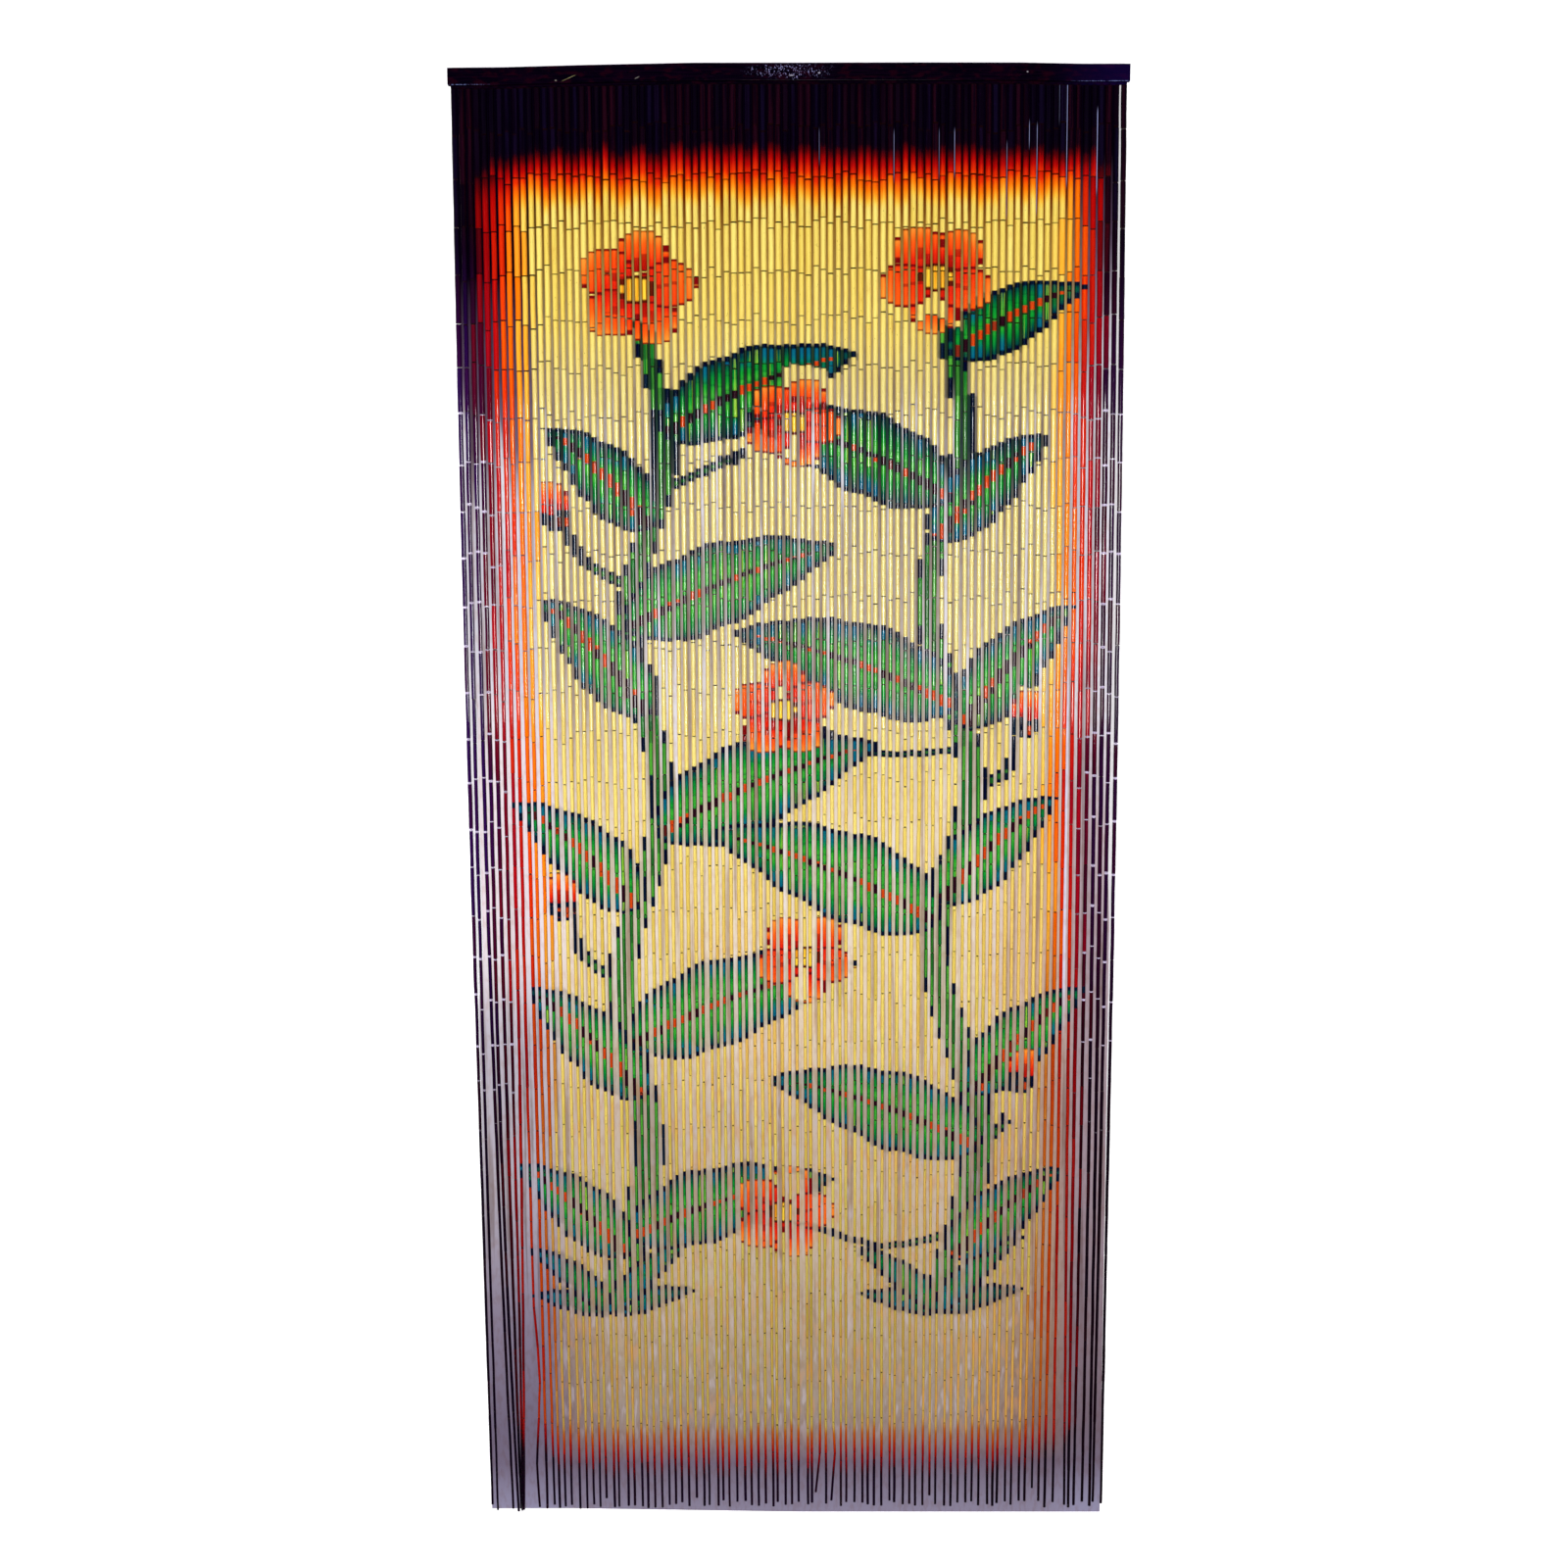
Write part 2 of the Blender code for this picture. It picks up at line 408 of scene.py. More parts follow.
bead_top, bead_foot = cut_beads()
bead_start = strand_lines(bead_top / strand_length[:, None])
bead_end = strand_lines(bead_foot / strand_length[:, None])
bead_plump = 1.0 + BEAD_SPREAD * bead_chance.uniform(-1.0, 1.0, bead_top.shape)
bead_share = (bead_top + bead_foot) / 2 / strand_length[:, None]
swell = LOW_SWELL + RIGHT_SWELL * (strand_home[:, None] > RIGHT_SWELL_FROM)
bead_plump = bead_plump + bead_share * swell
bead_radius = 0.5 * strand_thickness(bead_share) * strand_plump[:, None] * bead_plump


def put_mesh(name, points, faces, crease=None):
    """Make a smooth mesh object from points and faces, with edges sharper than crease kept sharp."""
    mesh = bpy.data.meshes.new(name)
    mesh.from_pydata(points.reshape(-1, 3), [], faces)
    mesh.shade_smooth()
    if crease is not None:
        mesh.set_sharp_from_angle(angle=math.radians(crease))
    piece = bpy.data.objects.new(name, mesh)
    bpy.context.scene.collection.objects.link(piece)
    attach(piece, "root")
    return piece


def put_attribute(piece, name, shape, *parts):
    """Give each of a piece's points a vector, whose three parts are each spread over this shape."""
    values = np.stack([np.broadcast_to(part, shape) for part in parts], axis=-1)
    layer = piece.data.attributes.new(name, "FLOAT_VECTOR", "POINT")
    layer.data.foreach_set("vector", np.ascontiguousarray(values, dtype=np.float32).ravel())


def grid_faces(rows, columns, round_rows=False, round_columns=False):
    """Four-sided faces over a grid of points, numbered row by row. It may close on itself."""
    row, column = np.meshgrid(
        np.arange(rows if round_rows else rows - 1),
        np.arange(columns if round_columns else columns - 1),
        indexing="ij",
    )
    here = row * columns
    ahead = (row + 1) % rows * columns
    beside = (column + 1) % columns
    corners = [here + column, here + beside, ahead + beside, ahead + column]
    return np.stack(corners, axis=-1).reshape(-1, 4)


def bead_faces(rings):
    """Faces of one bead whose points are its rings and then the bottoms of its two hollow ends."""
    walls = grid_faces(rings, BEAD_SIDES, round_columns=True)
    walls = np.roll(walls[:, ::-1], 1, axis=1)
    here = np.arange(BEAD_SIDES)
    after = (here + 1) % BEAD_SIDES
    last = (rings - 1) * BEAD_SIDES
    top_middle = np.full(BEAD_SIDES, rings * BEAD_SIDES)
    top_end = np.stack([here, after, top_middle], axis=1)
    foot_end = np.stack([last + after, last + here, top_middle + 1], axis=1)
    return walls, np.concatenate([top_end, foot_end])


def add_beads(name, strands, shapes):
    """Beads of some strands as one mesh. A bead is a ring of BEAD_SIDES points carried from its
    top to its foot: radius * (1 + OVALITY * cos(2 * angle)), narrower at the bevelled ends,
    and bowed aside by half a sine wave. Each end dips to a point, as a hollow cane's does."""
    start = bead_start[strands].reshape(-1, 1, 1, 3)
    end = bead_end[strands].reshape(-1, 1, 1, 3)
    radius = bead_radius[strands].reshape(-1, 1, 1)
    length = np.linalg.norm(end - start, axis=-1)
    count = len(radius)
    chance = np.random.default_rng(BEAD_SEED + int(strands[0]) + 1)
    bow = chance.uniform(-1.0, 1.0, (count, 1, 2)) * BEAD_BOW
    turn = chance.uniform(0.0, math.pi, (count, 1, 1))

    bevel = END_BEVEL * radius[:, 0, 0] / length[:, 0, 0]
    along = np.tile(RING_SHARES, (count, 1))
    along[:, 1] = bevel
    along[:, -2] = 1.0 - bevel
    angle = np.arange(BEAD_SIDES) * 2.0 * math.pi / BEAD_SIDES
    oval = 1.0 + OVALITY * np.cos(2.0 * (angle - turn))
    reach = radius * np.array(RING_SCALES)[None, :, None] * oval
    aside = bow * np.sin(math.pi * along)[:, :, None]
    rings = start + (end - start) * along[:, :, None, None]
    rings = np.broadcast_to(rings, (*along.shape, BEAD_SIDES, 3)).copy()
    rings[..., 0] += reach * np.cos(angle) + aside[:, :, [0]]
    rings[..., 1] += reach * np.sin(angle) + aside[:, :, [1]]

    dip = (end - start)[:, 0] / length[:, 0, :, None] * HOLLOW_DEPTH
    hollows = np.concatenate([start[:, 0] + dip, end[:, 0] - dip], axis=1)
    points = np.concatenate([rings.reshape(count, -1, 3), hollows], axis=1)
    walls, ends = bead_faces(len(RING_SHARES))
    offsets = np.arange(count)[:, None, None] * points.shape[1]
    faces = (walls + offsets).reshape(-1, 4).tolist()
    faces += (ends + offsets).reshape(-1, 3).tolist()
    piece = put_mesh(name, points, faces, BEAD_CREASE)

    shape = points.shape[:2]
    home = np.repeat(strand_home[strands], BEAD_COUNT)[:, None]
    tone = chance.uniform(0.0, 1.0, (count, 1))
    from_end = np.minimum(along, 1.0 - along) * length[:, 0]
    from_end = np.repeat(from_end, BEAD_SIDES, axis=1)
    from_end = np.hstack([from_end, np.full((count, 2), -HOLLOW_DEPTH)])
    put_attribute(piece, "cane", shape, home, tone, from_end)
    strand_tone = strand_chance[strands, CHANCE["phase"]] * 0.5 + 0.5
    strand_tone = np.repeat(strand_tone, BEAD_COUNT)[:, None]
    bead_tone = chance.uniform(0.0, 1.0, (count, 1))
    wear = chance.uniform(0.0, 1.0, (count, 1))
    put_attribute(piece, "shade", shape, strand_tone, bead_tone, wear)
    for layer, values in shapes.items():
        rows = values[strands].reshape(count, 3)
        put_attribute(piece, layer, shape, *rows.T[:, :, None])
    return piece


def add_links(name, middles, heights, widths, turns):
    """Closed oval loops of wire as one mesh. A loop's middle line is an ellipse in an upright
    plane turned about Z, and a small ring of LINK_SIDES points is carried round it."""
    round_loop = (np.arange(LINK_STEPS) * 2.0 * math.pi / LINK_STEPS)[None, :, None]
    round_wire = (np.arange(LINK_SIDES) * 2.0 * math.pi / LINK_SIDES)[None, None, :]
    out = WIRE_RADIUS * np.cos(round_wire)
    aside = WIRE_RADIUS * np.sin(round_wire)
    flat = (widths[:, None, None] / 2 + out) * np.cos(round_loop)
    up = (heights[:, None, None] / 2 + out) * np.sin(round_loop)
    turn = turns[:, None, None]
    x = middles[:, 0, None, None] + flat * np.cos(turn) - aside * np.sin(turn)
    y = middles[:, 1, None, None] + flat * np.sin(turn) + aside * np.cos(turn)
    z = middles[:, 2, None, None] + up
    points = np.stack(np.broadcast_arrays(x, y, z), axis=-1)
    loop = grid_faces(LINK_STEPS, LINK_SIDES, round_rows=True, round_columns=True)
    offsets = np.arange(len(middles))[:, None, None] * LINK_STEPS * LINK_SIDES
    return put_mesh(name, points, (loop + offsets).reshape(-1, 4).tolist())


def add_hanging_strip():
    """The strip under the rail: a rectangle with eased corners carried along the sprung rail's
    curve, with its two ends closed."""
    x = (np.array([share for share, _ in RAIL_BOW]) - 0.5) * STRIP_WIDTH
    middle = -RAIL_HEIGHT / 2 - PARTING - STRIP_HEIGHT / 2 + rail_rise(x)
    angle = (np.arange(STRIP_CORNERS) + 0.5) * 2.0 * math.pi / STRIP_CORNERS
    y = np.clip(STRIP_EASE * np.cos(angle), -0.5, 0.5) * STRIP_DEPTH - RAIL_DEPTH / 2
    z = np.clip(STRIP_EASE * np.sin(angle), -0.5, 0.5) * STRIP_HEIGHT
    points = np.stack(np.broadcast_arrays(x[:, None], y, middle[:, None] + z), axis=-1)
    faces = grid_faces(len(x), STRIP_CORNERS, round_columns=True).tolist()
    last = (len(x) - 1) * STRIP_CORNERS
    faces += [list(range(STRIP_CORNERS - 1, -1, -1)), list(range(last, last + STRIP_CORNERS))]
    return put_mesh("hanging_strip", points, faces, STRIP_CREASE)


# Painted design: two climbing stems with broad leaves, open blossoms and buds

LEAF = 0.0
PETAL = 1.0
HEART = 2.0
STEM = 3.0
UNPAINTED = 9.0
LEAF_OUTLINE = 0.0062
STEM_OUTLINE = 0.0044
PETAL_OUTLINE = 0.0030
HEART_SHARE = 0.78
RIB_WIDTH = 0.0036
PETAL_RIB_WIDTH = 0.0022
STEM_RIB_WIDTH = 0.0016
BRUSH_SLIP = 0.0014
EDGE_SOFTNESS = 0.0012
RIB_SPREAD = 0.0008
PAINT_LAYERS = ("upper", "middle", "under")
PAINT_PARTS = ("edge", "fill", "rib")
NO_RIB = (2.0, 2.0)

# Points along and across the shapes
SHAPE_STEPS = 321
STALK_STEPS = 500
STEM_STEPS = 1600
HEART_STEPS = 361
LEAF_ACROSS = 81
PETAL_ACROSS = 61
STEM_ACROSS = 41

# A shape's span that comes this near to a bead's end is carried this far past it
NEAR_END = 0.004
PAST_END = 0.02

# Widths at the foot and the tip, the leaves round a bud, and the petals of a blossom
STALK_WIDTHS = (0.0095, 0.0080)
STEM_WIDTHS = (0.038, 0.018)
BUD_WIDTH = 0.034
SEPAL_LEAN = 26
SEPAL_DROP = 0.006
SEPAL_LENGTH = 0.030
SEPAL_WIDTH = 0.016
PETAL_TURN = 72
PETAL_ORDER = (0, 2, 4, 1, 3)
PETAL_BREADTH = 0.80
HEART_BREADTH = 0.24

# Stems: points along each, across and level
LEFT_STEM = (
    (-0.262, -1.71),
    (-0.205, -1.47),
    (-0.238, -1.22),
    (-0.178, -0.97),
    (-0.222, -0.72),
    (-0.168, -0.50),
    (-0.205, -0.300),
)
RIGHT_STEM = (
    (0.205, -1.71),
    (0.258, -1.44),
    (0.196, -1.18),
    (0.246, -0.94),
    (0.184, -0.70),
    (0.232, -0.47),
    (0.196, -0.270),
)

# Leaves: share of the stem, lean from upright in degrees, length, width, droop
LEFT_LEAVES = (
    (0.06, -38, 0.20, 0.078, -0.16),
    (0.08, 62, 0.29, 0.106, 0.20),
    (0.22, -34, 0.22, 0.086, -0.18),
    (0.27, 60, 0.33, 0.120, 0.16),
    (0.40, -36, 0.22, 0.088, -0.20),
    (0.47, 57, 0.32, 0.120, 0.18),
    (0.58, -32, 0.21, 0.086, -0.16),
    (0.66, 60, 0.30, 0.112, 0.15),
    (0.76, -34, 0.19, 0.080, -0.20),
    (0.86, 56, 0.27, 0.104, 0.20),
)
RIGHT_LEAVES = (
    (0.05, 40, 0.20, 0.078, 0.16),
    (0.15, -60, 0.30, 0.110, -0.18),
    (0.20, 33, 0.21, 0.084, 0.20),
    (0.36, -58, 0.33, 0.122, -0.16),
    (0.38, 36, 0.21, 0.086, 0.18),
    (0.55, 32, 0.22, 0.086, 0.16),
    (0.57, -61, 0.31, 0.116, -0.17),
    (0.73, 35, 0.20, 0.082, 0.20),
    (0.77, -57, 0.29, 0.108, -0.18),
    (0.92, 50, 0.19, 0.080, 0.22),
)

# Narrow leaves at the foot of each stem: lean in degrees, length, droop
BASE_LEAF_WIDTH = 0.036
BASE_LEAVES = ((-62, 0.11, -0.25), (60, 0.12, 0.25), (-36, 0.15, -0.25), (32, 0.16, 0.25))

# Blossoms: middle across, level, petal length, turn in degrees
BLOSSOMS = (
    (-0.205, -0.275, 0.078, 10),
    (0.196, -0.262, 0.074, 40),
    (0.004, -0.452, 0.062, 25),
    (-0.012, -0.842, 0.068, 0),
    (0.016, -1.190, 0.066, 35),
    (-0.016, -1.560, 0.070, 15),
)

# Stalks to blossoms and buds: points along each
STALKS = (
    ((-0.172, -0.54), (-0.080, -0.500), (-0.010, -0.462)),
    ((0.222, -0.900), (0.110, -0.900), (0.000, -0.850)),
    ((-0.222, -1.270), (-0.110, -1.255), (0.000, -1.200)),
    ((0.240, -1.590), (0.120, -1.610), (0.000, -1.570)),
    ((-0.205, -0.68), (-0.275, -0.640), (-0.312, -0.585)),
    ((0.240, -0.960), (0.295, -0.925), (0.315, -0.870)),
    ((-0.236, -1.23), (-0.290, -1.185), (-0.314, -1.125)),
    ((0.252, -1.47), (0.296, -1.430), (0.314, -1.375)),
)

# Buds: foot across, level, lean in degrees, length
BUDS = (
    (-0.312, -0.590, -14, 0.062),
    (0.315, -0.875, 10, 0.060),
    (-0.314, -1.130, -8, 0.062),
    (0.314, -1.380, 12, 0.058),
)


def smooth_line(points, count):
    """A smooth line through points: cubics whose slopes follow the neighbouring points."""
    points = np.array(points)
    padded = np.vstack([2.0 * points[0] - points[1], points, 2.0 * points[-1] - points[-2]])
    place = np.linspace(0.0, len(points) - 1.0, count)
    first = np.minimum(place.astype(int), len(points) - 2)
    t = (place - first)[:, None]
    a, b, c, d = (padded[first + step] for step in range(4))
    bend = 2.0 * a - 5.0 * b + 4.0 * c - d
    return 0.5 * (2.0 * b + (c - a) * t + bend * t ** 2 + (3.0 * b - a - 3.0 * c + d) * t ** 3)


def shape_points(kind, **parts):
    """A painted shape: what it is, and flat arrays of what its points hold."""
    return dict({name: part.ravel() for name, part in parts.items()}, kind=kind)


def brushed(line, half, across, outline, rib_half, rib_ends, kind):
    """A brushed shape: its middle line plus s * half width * its normal, s from -1 to 1. The fill
    is what lies further in than the outline, and the rib is a narrow strip along the middle."""
    ahead = np.gradient(line, axis=0)
    ahead = ahead / np.linalg.norm(ahead, axis=1, keepdims=True)
    aside = half[:, None] * np.linspace(-1.0, 1.0, across)
    x = line[:, [0]] + ahead[:, [1]] * aside
    z = line[:, [1]] - ahead[:, [0]] * aside
    along = np.broadcast_to(np.linspace(0.0, 1.0, len(line))[:, None], aside.shape)
    inner = np.abs(aside) < half[:, None] - outline
    rib = (np.abs(aside) < rib_half * (1.15 - along)) & (along > rib_ends[0]) & (along < rib_ends[1])
    if kind != STEM:
        inner &= (along > 0.03) & (along < 0.97)
    return shape_points(kind, x=x, z=z, along=along, inner=inner, rib=rib)


def curved_line(root, lean, length, droop):
    """A curve through three points: straight out at first, then bending aside by the droop."""
    turn = math.radians(lean)
    ahead = np.array([math.sin(turn), math.cos(turn)])
    aside = np.array([math.cos(turn), -math.sin(turn)])
    root = np.array(root)
    s = np.linspace(0.0, 1.0, SHAPE_STEPS)[:, None]
    bend = root + ahead * length * 0.5
    tip = root + ahead * length + aside * droop * length
    return (1.0 - s) ** 2 * root + 2.0 * s * (1.0 - s) * bend + s ** 2 * tip


def paint_leaf(root, lean, length, width, droop, rib_ends=(0.02, 0.90)):
    """A broad leaf whose half width follows sin(pi * share ** 0.72) ** 0.75, slightly rippled."""
    share = np.linspace(0.0, 1.0, SHAPE_STEPS)
    half = 0.5 * width * np.sin(math.pi * share ** 0.72) ** 0.75
    half = half * (1.0 + 0.05 * np.sin(24.0 * share + 40.0 * root[1]))
    line = curved_line(root, lean, length, droop)
    return brushed(line, half, LEAF_ACROSS, LEAF_OUTLINE, RIB_WIDTH, rib_ends, LEAF)


def paint_petal(root, lean, length, width):
    """A straight petal, narrow at its foot: its half width follows sin(pi * share ** 1.3) ** 0.6."""
    share = np.linspace(0.0, 1.0, SHAPE_STEPS)
    half = 0.5 * width * np.sin(math.pi * share ** 1.3) ** 0.6
    line = curved_line(root, lean, length, 0.0)
    return brushed(line, half, PETAL_ACROSS, PETAL_OUTLINE, PETAL_RIB_WIDTH, (0.10, 0.60), PETAL)


def paint_stem(line, wide, narrow):
    """A stem along a line, tapering evenly from wide to narrow."""
    half = 0.5 * np.linspace(wide, narrow, len(line))
    return brushed(line, half, STEM_ACROSS, STEM_OUTLINE, STEM_RIB_WIDTH, (0.0, 1.0), STEM)


def paint_heart(x, z, radius):
    """The round middle of a blossom, with a dark ring."""
    angle = np.linspace(0.0, 2.0 * math.pi, HEART_STEPS)[:, None]
    share = np.linspace(0.0, 1.0, STEM_ACROSS)[None, :]
    x = x + radius * share * np.cos(angle)
    z = z + radius * share * np.sin(angle)
    along = np.broadcast_to(share, x.shape)
    no_rib = np.zeros(x.shape, dtype=bool)
    return shape_points(HEART, x=x, z=z, along=along, inner=along < HEART_SHARE, rib=no_rib)


def painted_shapes():
    """Every shape of the design, the first painted first."""
    shapes = []
    for points in STALKS:
        shapes.append(paint_stem(smooth_line(points, STALK_STEPS), *STALK_WIDTHS))
    for points, leaves in ((LEFT_STEM, LEFT_LEAVES), (RIGHT_STEM, RIGHT_LEAVES)):
        line = smooth_line(points, STEM_STEPS)
        shapes.append(paint_stem(line, *STEM_WIDTHS))
        for lean, length, droop in BASE_LEAVES:
            shapes.append(paint_leaf(points[0], lean, length, BASE_LEAF_WIDTH, droop, NO_RIB))
        for share, *shape in leaves:
            spot = line[int(share * (len(line) - 1))]
            shapes.append(paint_leaf(spot, *shape))
    for x, z, lean, length in BUDS:
        shapes.append(paint_petal((x, z), lean, length, BUD_WIDTH))
        for spread in (-SEPAL_LEAN, SEPAL_LEAN):
            root = (x, z - SEPAL_DROP)
            shapes.append(paint_leaf(root, lean + spread, SEPAL_LENGTH, SEPAL_WIDTH, 0.0))
    for x, z, length, turn in BLOSSOMS:
        for number in PETAL_ORDER:
            lean = turn + PETAL_TURN * number
            shapes.append(paint_petal((x, z), lean, length, length * PETAL_BREADTH))
        shapes.append(paint_heart(x, z, length * HEART_BREADTH))
    return shapes


def span_on_beads(strand, number, z, chosen, whole):
    """Highest and lowest level of the chosen points on each bead. A shape that crosses a strand
    once has one span on it, and any other is carried past the ends of each bead that it crosses."""
    top = np.full((STRAND_COUNT, BEAD_COUNT), -UNPAINTED)
    foot = np.full((STRAND_COUNT, BEAD_COUNT), UNPAINTED)
    np.maximum.at(top, (strand[chosen], number[chosen]), z[chosen])
    np.minimum.at(foot, (strand[chosen], number[chosen]), z[chosen])
    if whole:
        top[:] = top.max(axis=1, keepdims=True)
        foot[:] = foot.min(axis=1, keepdims=True)
    bare = top < foot
    if not whole:
        top = np.where(bead_start[..., 2] - top < NEAR_END, top + PAST_END, top)
        foot = np.where(foot - bead_end[..., 2] < NEAR_END, foot - PAST_END, foot)
    top[bare] = UNPAINTED
    foot[bare] = UNPAINTED
    return top, foot


def along_on_strands(strand, z, along, chosen):
    """How far along a shape its highest and its lowest chosen point on each strand lie."""
    order = np.argsort(z[chosen], kind="stable")
    at_top = np.zeros(STRAND_COUNT)
    at_foot = np.zeros(STRAND_COUNT)
    at_top[strand[chosen][order]] = along[chosen][order]
    at_foot[strand[chosen][order[::-1]]] = along[chosen][order[::-1]]
    return at_top[:, None], at_foot[:, None]


def shapes_on_beads():
    """For each bead, the spans of the three uppermost shapes on it: edge, fill and rib. The third
    number of each is: the kind plus a tone below one, along at the top, along at the foot."""
    slip = np.random.default_rng(SLIP_SEED)
    empty = np.full((STRAND_COUNT, BEAD_COUNT, 3), UNPAINTED)
    names = [f"{depth}_{part}" for depth in PAINT_LAYERS for part in PAINT_PARTS]
    layers = {name: empty.copy() for name in names}
    taken = np.zeros((STRAND_COUNT, BEAD_COUNT), dtype=int)
    for shape in reversed(painted_shapes()):
        x, z, along = (shape[key] for key in ("x", "z", "along"))
        whole = shape["kind"] != STEM
        strand = np.rint(x / STRAND_PITCH + (STRAND_COUNT - 1) / 2).astype(int)
        inside = (strand >= 0) & (strand < STRAND_COUNT)
        strand = np.clip(strand, 0, STRAND_COUNT - 1)
        number = np.sum(z[:, None] < bead_end[strand, :, 2], axis=1)
        number = np.minimum(number, BEAD_COUNT - 1)
        touched = np.zeros(taken.shape, dtype=bool)
        touched[strand[inside], number[inside]] = True
        slipped = BRUSH_SLIP * slip.uniform(-1.0, 1.0, (2, STRAND_COUNT, 1))
        spans = []
        for chosen in (inside, inside & shape["inner"], inside & shape["rib"]):
            top, foot = span_on_beads(strand, number, z, chosen, whole)
            spans.append((top + slipped[0], foot + slipped[1]))
        at_top, at_foot = along_on_strands(strand, z, along, inside)
        thirds = (np.full(taken.shape, shape["kind"] + 0.98 * slip.uniform()), at_top, at_foot)
        for level, depth in enumerate(PAINT_LAYERS):
            here = touched & (taken == level)
            for part, (top, foot), third in zip(PAINT_PARTS, spans, thirds):
                rows = np.stack(np.broadcast_arrays(top, foot, third), axis=-1)
                layers[f"{depth}_{part}"][here] = rows[here]
        taken = taken + touched
    return layers


# Finishes

def cane_values(finish):
    """What the paint on the canes is worked out from: level, chance values and four noises."""
    place = finish.place()
    home, tone, from_end = finish.attribute("cane").parts()
    strand_tone, bead_tone, wear = finish.attribute("shade").parts()
    return SimpleNamespace(
        place=place,
        z=place.parts()[2],
        home=home,
        tone=tone,
        from_end=from_end,
        strand_tone=strand_tone,
        bead_tone=bead_tone,
        wear=wear,
        fine=place.noise((1500.0, 1500.0, 14.0), bead_tone * 37.0, 2.0),
        broad=place.noise((380.0, 380.0, 6.0), bead_tone * 51.0, 3.0),
        mottle=place.noise((90.0, 90.0, 30.0), 0.0, 3.0),
        clouds=place.noise((5.0, 5.0, 3.5), 7.0, 3.0),
    )


def bare_straw(cane):
    """Straw-yellow cane: each bead pale or deep, with long fibres, warm clouds, a greyer band of
    painted sheen at mid height, a duller foot, patches low down, flecks, and amber near the foot."""
    z = cane.z
    lower = z.step(-0.60, -1.40)
    pale = lower.mix((0.95, 0.89, 0.52), (0.92, 0.83, 0.42))
    deep = lower.mix((0.90, 0.80, 0.38), (0.82, 0.71, 0.29))
    straw = (cane.tone * 0.8 + (cane.broad - 0.5) * 1.6).clamp().mix(pale, deep)
    straw = (cane.fine.step(0.52, 0.75) * 0.25).mix(straw, (0.78, 0.60, 0.26))
    straw = (cane.mottle.step(0.60, 0.80) * 0.35).mix(straw, (0.82, 0.60, 0.27))
    warm = cane.clouds.step(0.48, 0.64) * z.step(-0.90, -1.30) * 0.35
    straw = warm.mix(straw, (0.92, 0.66, 0.40))
    straw = z.step(-0.60, -0.28).tint(straw, (0.99, 0.97, 0.86))
    # Painted sheen: a greyer band over the canes at mid height.
    painted_sheen = z.band(-0.30, -0.42, -0.95, -0.75) * 0.35
    straw = painted_sheen.mix(straw, (0.76, 0.76, 0.58))
    straw = z.step(-1.30, -1.80).tint(straw, (0.80, 0.82, 0.78))

    patches = cane.place.noise((100.0, 100.0, 22.0), 11.0, 2.0)
    patchy = z.step(-1.05, -1.45)
    straw = (patches.step(0.52, 0.68) * patchy * 0.4).mix(straw, (0.84, 0.56, 0.28))
    straw = (patches.step(0.46, 0.32) * patchy * 0.5).mix(straw, (0.74, 0.70, 0.32))
    flecks = cane.place.noise((700.0, 700.0, 260.0), 3.0, 1.0)
    straw = (flecks.step(0.72, 0.78) * 0.7).mix(straw, (0.33, 0.17, 0.07))
    amber = z.step(-1.55, -1.86) * (0.10 + 0.45 * cane.home.step(0.05, 0.32))
    return (amber + (cane.mottle - 0.5) * amber).clamp().mix(straw, (0.93, 0.66, 0.34))


def border_depth(cane):
    """How far in from the border a spot lies, from 0 in the dark to 1 in the yellow. The nearness
    to each side is raised to a power, summed and its root taken, which rounds the corners."""
    z = cane.z
    home = cane.home
    ragged = (cane.strand_tone - 0.5) * 0.014 + (cane.fine - 0.5) * 0.014
    drifting = (cane.clouds - 0.5) * 0.05 * z.step(-0.45, -0.80)
    bulge = z.band(-0.75, -0.95, -1.50, -1.35)
    low_down = z.step(-1.30, -1.70)
    left = home + FIELD_HALF_WIDTH + z.step(-0.60, -0.30) * 0.009 - bulge * 0.006
    right = FIELD_HALF_WIDTH - home + z.step(-0.42, -0.28) * 0.008 - bulge * 0.010
    reach = {
        "left": left + drifting - low_down * 0.007,
        "right": right + drifting - low_down * 0.012,
        "top": ragged - z,
        "foot": z - FIELD_FOOT + ragged,
    }
    rounding = TOP_ROUNDING + z.step(-0.80, -1.20) * (FOOT_ROUNDING - TOP_ROUNDING)
    rounding = rounding + home.step(0.10, 0.30) * z.step(-0.60, -0.30) * RIGHT_ROUNDING
    total = 0.0
    for side, (dark, fade) in BORDER.items():
        inward = (1.0 - (reach[side] - dark) / fade).clamp()
        total = inward ** rounding + total
    uneven = (cane.bead_tone - 0.5) * 0.14 + (cane.broad - 0.5) * 0.14
    return 1.0 - (total ** (1.0 / rounding)).clamp() + uneven


